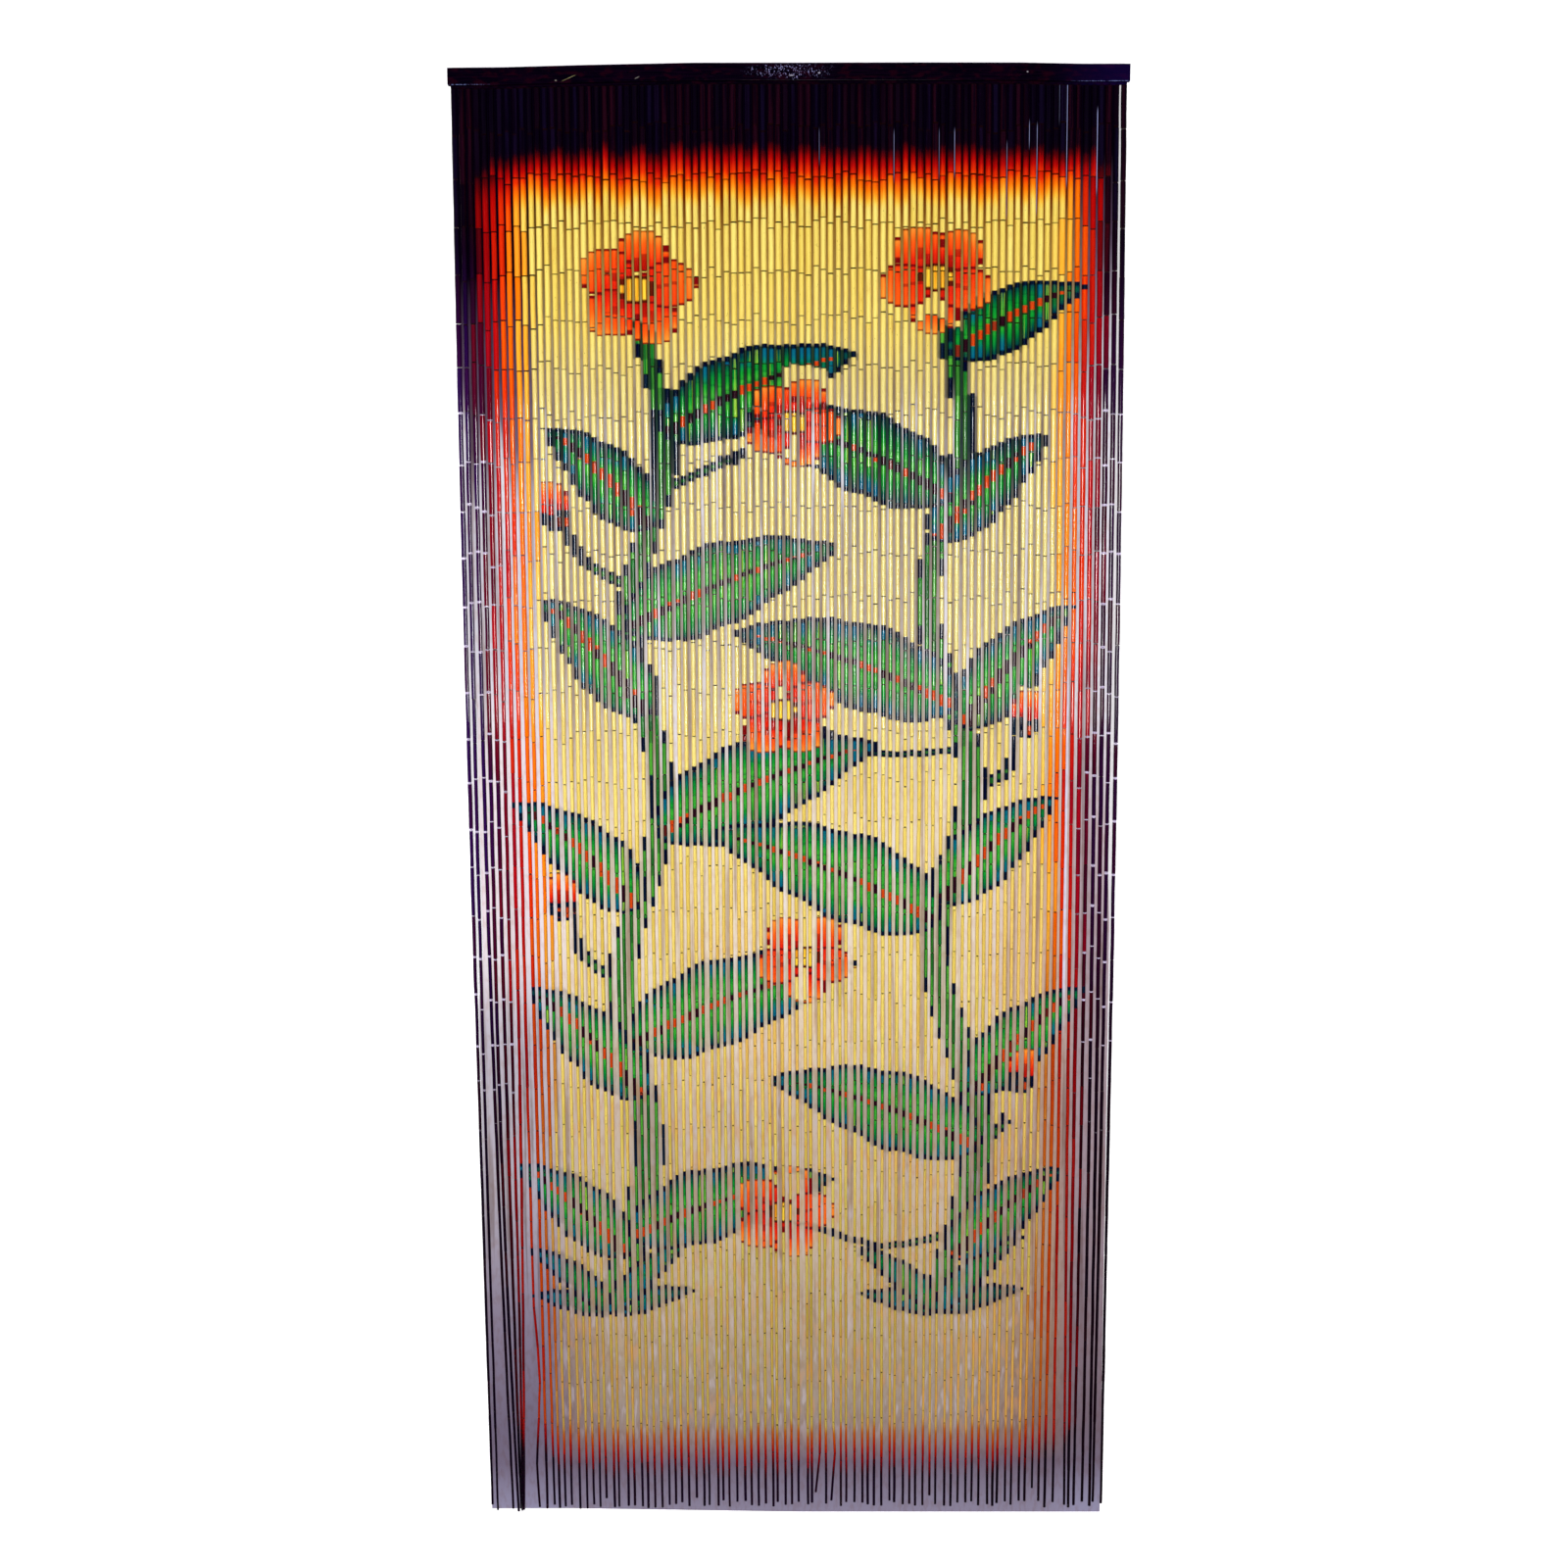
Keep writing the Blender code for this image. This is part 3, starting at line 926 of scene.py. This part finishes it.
def border_paint(cane, depth):
    """The sprayed border: near-black through red and orange. At the top single canes are redder
    or bluer, and down the sides below the top the dark turns plum: partly the paint's own
    plum, partly painted light where the sides are lit more at mid height."""
    z = cane.z
    sprayed = depth.ramp((
        (0.00, 0.050, 0.010, 0.075),
        (0.10, 0.090, 0.010, 0.070),
        (0.20, 0.34, 0.02, 0.04),
        (0.34, 0.68, 0.05, 0.02),
        (0.50, 0.88, 0.20, 0.02),
        (0.66, 0.95, 0.48, 0.05),
        (0.84, 0.96, 0.74, 0.22),
    ))
    near_top = depth.step(0.14, 0.05) * z.step(-0.30, -0.12) * cane.broad.step(0.42, 0.56)
    redder = cane.strand_tone.step(0.55, 0.75) * near_top
    bluer = cane.strand_tone.step(0.40, 0.25) * near_top
    sprayed = (redder * 0.45).mix(sprayed, (0.185, 0.035, 0.090))
    sprayed = (bluer * 0.45).mix(sprayed, (0.080, 0.050, 0.160))

    plum = depth.ramp((
        (0.00, 0.22, 0.07, 0.34),
        (0.10, 0.29, 0.05, 0.22),
        (0.22, 0.47, 0.03, 0.13),
        (0.36, 0.68, 0.06, 0.10),
    ))
    right = cane.home.step(0.0, 0.3) * depth.step(0.25, 0.10)
    plum = right.tint(plum, (0.72, 0.70, 0.55))
    left = cane.home.step(-0.2, -0.4) * depth.step(0.32, 0.14)
    plum = left.tint(plum, (0.78, 0.68, 0.80))
    # Plum down the sides, fading low down: partly the paint's colour, partly painted light.
    plum_and_painted_light = z.step(-0.18, -0.42) * depth.step(0.48, 0.30) * (1.0 - z.step(-1.15, -1.55) * 0.7)
    sprayed = (plum_and_painted_light * (0.6 + cane.broad * 0.6)).mix(sprayed, plum)
    return z.step(-1.05, -1.35).tint(sprayed, (0.74, 0.56, 0.62))


def painted_cane():
    """Cane beads: straw yellow under a sprayed border and the brushed design, with darker cut
    ends, pale on some beads of the border, painted shade down their sides, and clear varnish."""
    finish = Finish("painted_cane", Coat_Roughness=0.07, Specular_IOR_Level=0.0)
    cane = cane_values(finish)
    z = cane.z
    depth = border_depth(cane)
    shown = depth.step(0.96, 0.76).mix(bare_straw(cane), border_paint(cane, depth))
    across = abs(finish.facing().parts()[0])
    # Painted shade: darker towards each cane's sides, as far as the surface faces sideways.
    shown = (across ** 2.5 * 0.50).tint(shown, (0.66, 0.44, 0.26))
    for layer in reversed(PAINT_LAYERS):
        shown = brushed_shape(finish, cane, shown, layer, across.step(0.35, 0.95) * 0.8)

    # Some cut ends in the border, at mid height, show pale instead of dark.
    pale_end = depth.step(0.34, 0.16) * cane.wear.step(0.30, 0.40)
    pale_end = pale_end * z.band(-0.36, -0.45, -1.50, -1.30)
    cut = pale_end.mix((0.13, 0.06, 0.04), (0.80, 0.75, 0.86))
    faint = cane.wear.step(0.5, 0.8) * (1.0 - pale_end) * (0.5 + 0.2 * z.step(-0.70, -1.20))
    reach_in = (cane.from_end - pale_end * 0.0006).step(0.0009, 0.0005)
    spot = 1.0 - z.step(-0.70, -1.00) * across.step(0.25, 0.60) * (1.0 - pale_end)
    finish.give("Base Color", (reach_in * spot * (0.95 - faint)).mix(shown, cut))
    finish.give("Roughness", 0.50 + (cane.broad - 0.5) * 0.3)
    finish.give("Coat Weight", 0.35 + cane.broad.step(0.40, 0.60) * 0.65)
    finish.give("Normal", (cane.fine + cane.broad * 1.5).bump(0.00022))
    return finish.material


def within(level, top, foot, soft):
    """1 between foot and top and 0 outside, over a soft edge."""
    below = ((top - level) / soft + 0.5).clamp()
    above = ((level - foot) / soft + 0.5).clamp()
    return below * above


def brushed_shape(finish, cane, ground, layer, side):
    """Paint one layer of the design over a ground: dark edge, shaded fill, rib and veins,
    with painted shade towards the canes' sides.
    """
    z, broad, wear = cane.z, cane.broad, cane.wear
    top, foot, code = finish.attribute(f"{layer}_edge").parts()
    fill_top, fill_foot, along_top = finish.attribute(f"{layer}_fill").parts()
    rib_top, rib_foot, along_foot = finish.attribute(f"{layer}_rib").parts()
    kind = finish.math("FLOOR", code)
    tone = code - kind
    petal = (kind > PETAL - 0.5) * (kind < PETAL + 0.5)
    heart = (kind > HEART - 0.5) * (kind < HEART + 0.5)
    stem = kind > STEM - 0.5

    edge = within(z, top, foot, EDGE_SOFTNESS)
    fill = within(z, fill_top, fill_foot, 2.0 * EDGE_SOFTNESS)
    rib = within(z, rib_top + RIB_SPREAD, rib_foot - RIB_SPREAD, EDGE_SOFTNESS)
    up = ((z - fill_foot) / finish.math("MAXIMUM", fill_top - fill_foot, 0.002)).clamp()
    along = along_foot + (along_top - along_foot) * up
    inward = finish.math("MINIMUM", fill_top - z, z - fill_foot)
    from_rib = abs(z - (rib_top + rib_foot) * 0.5)

    outline = broad.step(0.45, 0.62).mix((0.02, 0.05, 0.15), (0.03, 0.13, 0.20))
    outline = petal.mix(outline, (0.46, 0.04, 0.05))
    outline = heart.mix(outline, (0.36, 0.10, 0.03))

    green = (inward / 0.034 + (broad - 0.5) * 0.6 + (tone - 0.5) * 0.25).ramp((
        (0.00, 0.02, 0.18, 0.26),
        (0.16, 0.03, 0.33, 0.24),
        (0.40, 0.05, 0.50, 0.20),
        (0.75, 0.10, 0.60, 0.18),
        (1.00, 0.24, 0.68, 0.20),
    ))
    green = (from_rib.step(0.012, 0.003) * 0.6).mix(green, (0.03, 0.24, 0.16))
    slant = finish.math("FRACT", along * 10.0 + from_rib * 30.0)
    green = (slant.step(0.24, 0.06) * 0.40).mix(green, (0.03, 0.26, 0.17))
    green = (cane.fine.step(0.35, 0.65) * 0.35).mix(green, (0.02, 0.34, 0.16))
    lime = wear.step(0.30, 0.12) * broad.step(0.52, 0.66)
    green = (lime * 0.7).mix(green, (0.62, 0.80, 0.22))
    teal = wear.step(0.66, 0.80) * inward.step(0.026, 0.008)
    green = (teal * 0.7).mix(green, (0.05, 0.40, 0.52))

    stalk = broad.step(0.40, 0.60).mix((0.09, 0.42, 0.16), (0.30, 0.62, 0.20))
    red = (along + (broad - 0.5) * 0.3).ramp((
        (0.10, 0.62, 0.05, 0.04),
        (0.45, 0.88, 0.16, 0.06),
        (0.75, 0.95, 0.36, 0.09),
        (1.00, 0.97, 0.58, 0.20),
    ))
    gold = broad.step(0.42, 0.60).mix((0.96, 0.80, 0.24), (0.90, 0.56, 0.10))
    inner = heart.mix(petal.mix(stem.mix(green, stalk), red), gold)

    accent = wear.step(0.45, 0.55).mix((0.16, 0.06, 0.10), (0.78, 0.26, 0.08))
    accent = petal.mix(accent, (0.50, 0.03, 0.04))
    accent = stem.mix(accent, (0.10, 0.30, 0.14))
    inner = (rib * (1.0 - petal * 0.4) * (1.0 - stem * 0.4)).mix(inner, accent)
    inner = fill.mix(outline, inner)
    # Painted shade: the design darker towards the canes' sides, less on petals.
    inner = (side * (1.0 - petal * 0.7)).tint(inner, (0.30, 0.26, 0.42))
    return edge.mix(ground, inner)


def iron_wire():
    """Thin iron wire, dull and browned by varnish, and under dark paint near the rail."""
    finish = Finish("iron_wire", Specular_IOR_Level=0.0)
    place = finish.place()
    tarnish = place.noise((700.0, 700.0, 700.0), 1.0, 2.0)
    painted = place.parts()[2].step(-0.16, -0.06)
    iron = tarnish.step(0.35, 0.65).mix((0.34, 0.28, 0.25), (0.17, 0.12, 0.10))
    finish.give("Base Color", painted.mix(iron, (0.050, 0.015, 0.065)))
    finish.give("Metallic", 0.7 - painted * 0.7)
    finish.give("Roughness", 0.35 + tarnish * 0.3)
    return finish.material


# Scuffs on the rail's face: middle along X and Z, reach along X and Z, slope, strength, how
# finely speckled from 0 to 1, colour
RAIL_SCUFFS = (
    (0.000, 0.0045, 0.060, 0.0120, 0.00, 1.00, 1.0, (0.56, 0.55, 0.74)),
    (0.003, -0.0010, 0.004, 0.0012, 0.00, 0.80, 0.4, (0.66, 0.65, 0.72)),
    (0.040, 0.0020, 0.002, 0.0014, 0.00, 0.80, 0.0, (0.62, 0.61, 0.68)),
    (-0.290, -0.0030, 0.013, 0.0006, 0.42, 0.90, 0.3, (0.50, 0.48, 0.32)),
    (-0.307, -0.0060, 0.002, 0.0012, 0.00, 0.70, 0.0, (0.50, 0.48, 0.44)),
    (-0.200, -0.0030, 0.004, 0.0010, 0.42, 0.60, 0.3, (0.55, 0.54, 0.50)),
    (0.3145, 0.0020, 0.0016, 0.0014, 0.00, 0.80, 0.0, (0.60, 0.58, 0.60)),
)


def rail_paint():
    """Near-black aubergine gloss over a planed batten, mottled, with speckled and scratched
    scuffs on its face, and painted highlights as pale glints along its lower edge near its ends."""
    finish = Finish("rail_paint", Coat_Roughness=0.20, Specular_IOR_Level=0.0)
    place = finish.place()
    x, y, z = place.parts()
    grain = place.noise((16.0, 420.0, 420.0), 0.0, 3.0)
    brush = place.noise((60.0, 160.0, 160.0), 4.0, 3.0)
    speckle = place.noise((640.0, 640.0, 640.0), 9.0, 1.0)
    shown = grain.step(0.40, 0.68).mix((0.035, 0.008, 0.065), (0.075, 0.020, 0.085))
    shown = (brush.step(0.50, 0.66) * 0.7).mix(shown, (0.130, 0.025, 0.080))
    shown = (x.step(0.33, 0.45) * 0.45).mix(shown, (0.100, 0.050, 0.240))
    on_face = y.step(-0.0105, -0.0115)
    for middle, level, reach, rise, slope, strength, fineness, tone in RAIL_SCUFFS:
        along = (x - middle) / reach
        up = (z - level - (x - middle) * slope) / rise
        away = (along * along + up * up) ** 0.5
        solid = (away + (brush - 0.5) * 1.2).step(1.0, 0.5)
        specks = speckle.step(0.52 + 0.10 * fineness, 0.60 + 0.10 * fineness)
        mark = solid * (1.0 - fineness) + solid * specks * fineness
        shown = (mark * on_face * strength).mix(shown, tone)
    # Painted highlights: pale glints along the face's lower edge, near the ends.
    low_edge = z.step(-0.0096, -0.0108) * on_face * speckle.step(0.46, 0.56)
    near_ends = x.step(0.350, 0.400) + x.step(-0.380, -0.430) * 0.5
    shown = (low_edge * near_ends).mix(shown, (0.50, 0.56, 0.78))
    underneath = finish.facing().parts()[2].step(-0.3, -0.8)
    finish.give("Base Color", shown)
    finish.give("Roughness", 0.34 + grain * 0.25)
    finish.give("Coat Weight", 0.10 - underneath * 0.10)
    finish.give("Normal", (grain + brush * 0.6).bump(0.0003))
    return finish.material


# Pieces

layers = shapes_on_beads()
cane_finish = painted_cane()
for number, name in enumerate(("beads_left", "beads_middle", "beads_right")):
    strands = np.arange(STRANDS_A_PIECE) + STRANDS_A_PIECE * number
    beads = add_beads(name, strands, layers)
    beads.data.materials.append(cane_finish)
    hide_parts("bamboo_strands")

wire_finish = iron_wire()
joint_middle = (bead_end[:, :-1] + bead_start[:, 1:]) / 2
joint_gap = bead_top[:, 1:] - bead_foot[:, :-1]
joint_width = LINK_WIDTH_SHARE * (bead_radius[:, :-1] + bead_radius[:, 1:])
link_turn = np.random.default_rng(LINK_SEED).uniform(0.0, math.pi, joint_gap.shape)
links = add_links(
    "wire_links",
    joint_middle.reshape(-1, 3),
    (joint_gap + 2.0 * LINK_REACH).ravel(),
    joint_width.ravel(),
    link_turn.ravel(),
)
eye_top = -RAIL_HEIGHT / 2 + rail_rise(strand_home) + EYE_REACH
eye_foot = bead_start[:, 0, 2] - LINK_REACH
eye_middle = bead_start[:, 0].copy()
eye_middle[:, 2] = (eye_top + eye_foot) / 2
eyes = add_links(
    "wire_eyes",
    eye_middle,
    eye_top - eye_foot,
    np.full(STRAND_COUNT, EYE_WIDTH),
    math.pi / 2 + (link_turn[:, 0] - math.pi / 2) * EYE_TURN_SHARE,
)
for piece in (links, eyes):
    piece.data.materials.append(wire_finish)

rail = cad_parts["header_rail"]
rail_finish = rail_paint()
strip = add_hanging_strip()
strip.data.materials.append(rail_finish)
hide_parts("bamboo_strands")
for slot in rail.material_slots:
    slot.material = rail_finish


# Stage, lights and camera

def put_stage(name, points, faces, material):
    """A stage piece from points and faces. Its glow isn't sampled as a light, which saves time."""
    mesh = bpy.data.meshes.new(name)
    mesh.from_pydata(points, [], faces)
    mesh.materials.append(material)
    material.cycles.emission_sampling = "NONE"
    piece = bpy.data.objects.new(name, mesh)
    bpy.context.scene.collection.objects.link(piece)
    return piece


def put_plane(name, half_width, near, far, material):
    """A flat stage piece from its near edge to its far edge, each given as y and z."""
    points = [(-half_width, *near), (half_width, *near), (half_width, *far), (-half_width, *far)]
    return put_stage(name, points, [(0, 1, 2, 3)], material)


def put_light(name, place, aim, width, height, power, diffuse, glossy):
    """A soft rectangular light turned towards a point."""
    light = bpy.data.lights.new(name, "AREA")
    light.shape = "RECTANGLE"
    light.size = width
    light.size_y = height
    light.energy = power
    lamp = bpy.data.objects.new(name, light)
    lamp.location = place
    away = Vector(place) - Vector(aim)
    lamp.rotation_euler = away.to_track_quat("Z", "Y").to_euler()
    lamp.visible_camera = False
    lamp.visible_diffuse = diffuse
    lamp.visible_glossy = glossy
    bpy.context.scene.collection.objects.link(lamp)


def seen_from_front(finish):
    """Let a surface be seen from its front only, so that the curtain's back can be looked at."""
    behind = finish.node("ShaderNodeNewGeometry", {}, {}, "Backfacing")
    clear = finish.node("ShaderNodeBsdfTransparent", {}, {})
    solid = Output(finish, finish.shader.outputs[0])
    seen = finish.node("ShaderNodeMixShader", {}, {0: behind, 1: solid, 2: clear})
    finish.feed(finish.tree.nodes["Material Output"].inputs["Surface"], seen)
    return finish.material


def wall_finish():
    """Pale matt wall."""
    finish = Finish("pale_wall", Roughness=0.9, Specular_IOR_Level=0.0, Emission_Strength=1.0)
    finish.give("Base Color", (0.97, 0.97, 0.97))
    finish.give("Emission Color", (0.80, 0.80, 0.80))
    return seen_from_front(finish)


def floor_finish():
    """Pale matt floor, which glows faintly further out so that it stays pale beyond the lights."""
    finish = Finish("pale_floor", Roughness=0.9, Specular_IOR_Level=0.0, Emission_Strength=0.55)
    settings = {"operation": "LENGTH"}
    out = finish.node("ShaderNodeVectorMath", settings, {0: finish.place()}, "Value")
    finish.give("Base Color", (0.93, 0.91, 0.93))
    finish.give("Emission Color", out.step(2.3, 4.2).mix((0.0, 0.0, 0.0), (0.93, 0.92, 0.93)))
    return finish.material


# Painted shade and light that shows between the strands, behind the yellow field and behind
# the sides: share of the way down, red, green, blue
FIELD_SHADE_AND_LIGHT = (
    (0.046, 0.05, 0.02, 0.08),
    (0.060, 0.17, 0.02, 0.02),
    (0.078, 0.40, 0.17, 0.05),
    (0.100, 0.56, 0.42, 0.19),
    (0.130, 0.61, 0.51, 0.28),
    (0.170, 0.66, 0.60, 0.43),
    (0.200, 0.64, 0.58, 0.49),
    (0.240, 0.63, 0.59, 0.58),
    (0.300, 0.66, 0.61, 0.57),
    (0.380, 0.74, 0.69, 0.65),
    (0.430, 0.81, 0.75, 0.68),
    (0.500, 0.93, 0.86, 0.76),
    (0.570, 0.93, 0.86, 0.76),
    (0.650, 0.89, 0.81, 0.71),
    (0.700, 0.78, 0.70, 0.63),
    (0.800, 0.77, 0.69, 0.60),
    (0.860, 0.71, 0.63, 0.55),
    (0.890, 0.65, 0.58, 0.51),
    (0.920, 0.61, 0.55, 0.51),
    (0.945, 0.56, 0.48, 0.47),
    (0.965, 0.44, 0.39, 0.46),
    (1.000, 0.53, 0.50, 0.59),
)
SIDE_SHADE_AND_LIGHT = (
    (0.050, 0.05, 0.02, 0.08),
    (0.120, 0.36, 0.29, 0.38),
    (0.165, 0.44, 0.38, 0.45),
    (0.205, 0.78, 0.76, 0.81),
    (0.300, 0.84, 0.82, 0.87),
    (0.500, 0.80, 0.78, 0.83),
    (0.750, 0.70, 0.67, 0.72),
    (0.930, 0.52, 0.49, 0.55),
    (0.965, 0.47, 0.43, 0.51),
    (1.000, 0.56, 0.54, 0.65),
)

# Painted slits of light between the dark canes at the top: the strand to the left, where each
# begins and ends, how bright. Seen from 3 m in front, they lie this much further out than the gaps.
TOP_SLITS = (
    (48, -0.070, -0.110, 0.20),
    (58, -0.072, -0.133, 0.35),
    (64, -0.071, -0.130, 0.22),
    (66, -0.071, -0.127, 0.50),
    (73, -0.088, -0.183, 0.32),
    (76, -0.061, -0.090, 0.42),
    (77, -0.064, -0.177, 0.42),
    (80, -0.010, -0.060, 0.15),
    (81, -0.008, -0.141, 0.52),
    (85, -0.045, -0.150, 0.75),
)
SLIT_SPREAD = 1.0023
SLIT_HALF_WIDTH = 0.0005

# A wider painted slit of light down the right side: its place, and the half widths between which it
# fades
LONG_SLIT_X = 0.3790
LONG_SLIT_EDGE = (0.0038, 0.0020)


def gap_place(strand, level):
    """Middle of the gap to the right of a strand at a level."""
    number = int(np.sum(level < bead_end[strand, :, 2]))
    left = bead_start[strand, number, 0] + bead_radius[strand, number]
    right = bead_start[strand + 1, number, 0] - bead_radius[strand + 1, number]
    return float(left + right) / 2 * SLIT_SPREAD


def gap_light_and_shade_finish():
    """Painted shade and light on a glowing sheet, shown between the strands: dark under the rail,
    tan behind the yellow field, lavender behind the sides, pale streaks and slits of painted
    light, and darker where the canes on both sides are painted dark."""
    finish = Finish("painted_gap_light_and_shade", Roughness=0.9, Specular_IOR_Level=0.0, Emission_Strength=1.0)
    place = finish.place()
    x, _, z = place.parts()
    level = z / PANEL_FOOT
    late = x.step(0.0, -0.3) * level.step(0.45, 0.36) * 0.078
    aside = x.step(0.36, 0.41) + x.step(-0.31, -0.36)
    gap_light_and_shade = aside.mix(level.ramp(FIELD_SHADE_AND_LIGHT), (level - late).ramp(SIDE_SHADE_AND_LIGHT))
    streaks = place.noise((130.0, 0.0, 3.0), 0.0, 1.0)
    # Painted light in pale streaks, and painted shade in dull streaks.
    bright = level.band(0.19, 0.24, 0.78, 0.36) * streaks.step(0.52, 0.68)
    gap_light_and_shade = (bright * 0.75).mix(gap_light_and_shade, (0.95, 0.94, 0.98))
    dull = level.band(0.10, 0.20, 0.92, 0.80) * streaks.step(0.48, 0.34)
    gap_light_and_shade = (dull * 0.7).tint(gap_light_and_shade, (0.72, 0.66, 0.62))

    # Painted slits of light between the dark canes at the top.
    for strand, begins, ends, strength in TOP_SLITS:
        off = abs(x - gap_place(strand, (begins + ends) / 2))
        slit = off.step(SLIT_HALF_WIDTH, SLIT_HALF_WIDTH / 2)
        slit = slit * z.band(begins + 0.006, begins - 0.006, ends - 0.008, ends + 0.008)
        gap_light_and_shade = (slit * strength).mix(gap_light_and_shade, (0.72, 0.75, 0.98))
    # Painted light near the outer right and on the left at mid height, painted shade low down on the
    # right and on the left, and a long painted slit of light down the right.
    painted_light_right = x.step(0.40, 0.43) * level.band(0.10, 0.18, 0.60, 0.48)
    gap_light_and_shade = (painted_light_right * 0.6).mix(gap_light_and_shade, (0.94, 0.93, 0.97))
    painted_light_left = x.step(-0.28, -0.35) * level.band(0.38, 0.45, 0.66, 0.57)
    gap_light_and_shade = (painted_light_left * 0.7).mix(gap_light_and_shade, (0.98, 0.92, 0.94))
    painted_shade_right = x.step(0.22, 0.36) * level.band(0.40, 0.52, 0.99, 0.93)
    gap_light_and_shade = painted_shade_right.tint(gap_light_and_shade, (0.87, 0.80, 0.80))
    painted_shade_left = x.step(-0.24, -0.34) * level.band(0.74, 0.88, 0.99, 0.93)
    gap_light_and_shade = painted_shade_left.tint(gap_light_and_shade, (0.86, 0.83, 0.89))
    long_slit = abs(x - LONG_SLIT_X).step(*LONG_SLIT_EDGE) * z.band(-0.74, -0.84, -1.34, -1.20)
    gap_light_and_shade = long_slit.mix(gap_light_and_shade, (0.86, 0.84, 0.92))

    # More painted shade and light: darker mottles, warm and lavender patches low down, and darker
    # where the neighbouring canes are painted dark.
    mottled = place.noise((160.0, 0.0, 60.0), 5.0, 2.0)
    gap_light_and_shade = (mottled.step(0.45, 0.65) * 0.5).tint(gap_light_and_shade, (0.92, 0.86, 0.82))
    patches = place.noise((110.0, 0.0, 24.0), 2.0, 2.0)
    patchy = level.band(0.55, 0.72, 0.96, 0.92) * abs(x).step(0.37, 0.31)
    gap_light_and_shade = (patches.step(0.52, 0.68) * patchy * 0.45).mix(gap_light_and_shade, (0.80, 0.58, 0.38))
    gap_light_and_shade = (patches.step(0.46, 0.32) * patchy * 0.5).mix(gap_light_and_shade, (0.76, 0.71, 0.74))
    painted = finish.attribute("cover", "Fac") * (0.30 + z.step(-0.66, -0.46) * 0.70)
    painted = painted * abs(x).step(0.36, 0.33) * (1.0 - bright)
    finish.give("Base Color", (0.05, 0.04, 0.05))
    finish.give("Emission Color", painted.tint(gap_light_and_shade, (0.24, 0.40, 0.40)))
    return seen_from_front(finish)


def put_gap_light_and_shade(layers):
    """A glowing sheet of painted shade and light just behind the strands: a column of points behind
    each strand, which bulges as the strands do, and one along each side. A point's cover is 1
    where its strand is painted there."""
    z = np.linspace(PANEL_TOP, PANEL_FOOT, PANEL_LEVELS)
    number = np.sum(z[None, :, None] < bead_end[:, None, :, 2], axis=2)
    number = np.clip(number, 0, BEAD_COUNT - 1)
    cover = np.zeros(number.shape)
    for depth in PAINT_LAYERS:
        edge = np.take_along_axis(layers[f"{depth}_edge"], number[..., None], 1)
        top, foot, code = np.moveaxis(edge, -1, 0)
        cover = np.maximum(cover, (z < top) & (z > foot) & ((code < PETAL) | (code > STEM)))
    cover = np.vstack([cover[:1], cover, cover[-1:]])
    left_side = between(LEFT_INSET, z) - PANEL_HALF_WIDTH
    right_side = PANEL_HALF_WIDTH - between(RIGHT_INSET, z)
    x = strand_home[:, None] * (1.0 + BELLY * np.sin(math.pi * z / PANEL_FOOT))
    x = np.clip(x, left_side + PANEL_MARGIN, right_side - PANEL_MARGIN)
    x = np.vstack([left_side, x, right_side])
    y = np.full(x.shape, PANEL_GAP)
    points = np.stack([x, y, z * (1.0 + between(PANEL_DROP, x))], axis=-1).reshape(-1, 3)
    faces = grid_faces(len(x), PANEL_LEVELS)
    gap_light_and_shade = put_stage("gap_light_and_shade", points, faces.tolist(), gap_light_and_shade_finish())
    values = gap_light_and_shade.data.attributes.new("cover", "FLOAT", "POINT")
    values.data.foreach_set("value", cover.astype(np.float32).ravel())
    return gap_light_and_shade


near_edge = (-FLOOR_REACH, FLOOR_LEVEL)
far_edge = (FLOOR_REACH, FLOOR_LEVEL)
floor = put_plane("floor", FLOOR_REACH, near_edge, far_edge, floor_finish())
floor.visible_glossy = False
low_edge = (WALL_GAP, FLOOR_LEVEL)
high_edge = (WALL_GAP, WALL_TOP)
wall = put_plane("wall", WALL_REACH, low_edge, high_edge, wall_finish())
wall.visible_shadow = False
gap_light_and_shade = put_gap_light_and_shade(layers)
gap_light_and_shade.visible_shadow = False

# Lights: name, place, aim, width, height, power, whether seen in diffuse and in gloss
LIGHTS = (
    ("gloss", (0.10, -1.15, -0.70), (0.0, 0.0, -0.70), 0.30, 0.60, 28.0, False, True),
    ("fill_left", (-1.30, -1.5, -0.45), (0.0, 0.0, -0.6), 0.9, 1.0, 33.0, True, False),
    ("fill_right", (1.30, -1.5, -0.45), (0.0, 0.0, -0.6), 0.9, 1.0, 26.0, True, False),
    ("back", (0.6, 2.6, 0.4), (0.0, 0.0, -1.0), 1.8, 2.0, 50.0, True, False),
)
for row in LIGHTS:
    put_light(*row)

world = bpy.data.worlds.new("studio")
world.use_nodes = True
path = world.node_tree.nodes.new("ShaderNodeLightPath")
sky = world.node_tree.nodes.new("ShaderNodeMix")
sky.data_type = "RGBA"
sky.inputs[6].default_value = SKY_THAT_LIGHTS
sky.inputs[7].default_value = SKY_THAT_SHOWS
world.node_tree.links.new(path.outputs["Is Camera Ray"], sky.inputs[0])
world.node_tree.links.new(sky.outputs[2], world.node_tree.nodes["Background"].inputs["Color"])
scene = bpy.context.scene
scene.world = world
scene.view_settings.view_transform = "Standard"

camera_data = bpy.data.cameras.new("camera")
camera_data.lens = 50.0
camera_data.sensor_width = 36.0
camera = bpy.data.objects.new("camera", camera_data)
camera.location = CAMERA_PLACE
pitch = Matrix.Rotation(math.pi / 2 - CAMERA_PITCH, 4, "X")
roll = Matrix.Rotation(-CAMERA_ROLL, 4, "Z")
camera.rotation_euler = (pitch @ roll).to_euler()
scene.collection.objects.link(camera)
scene.camera = camera
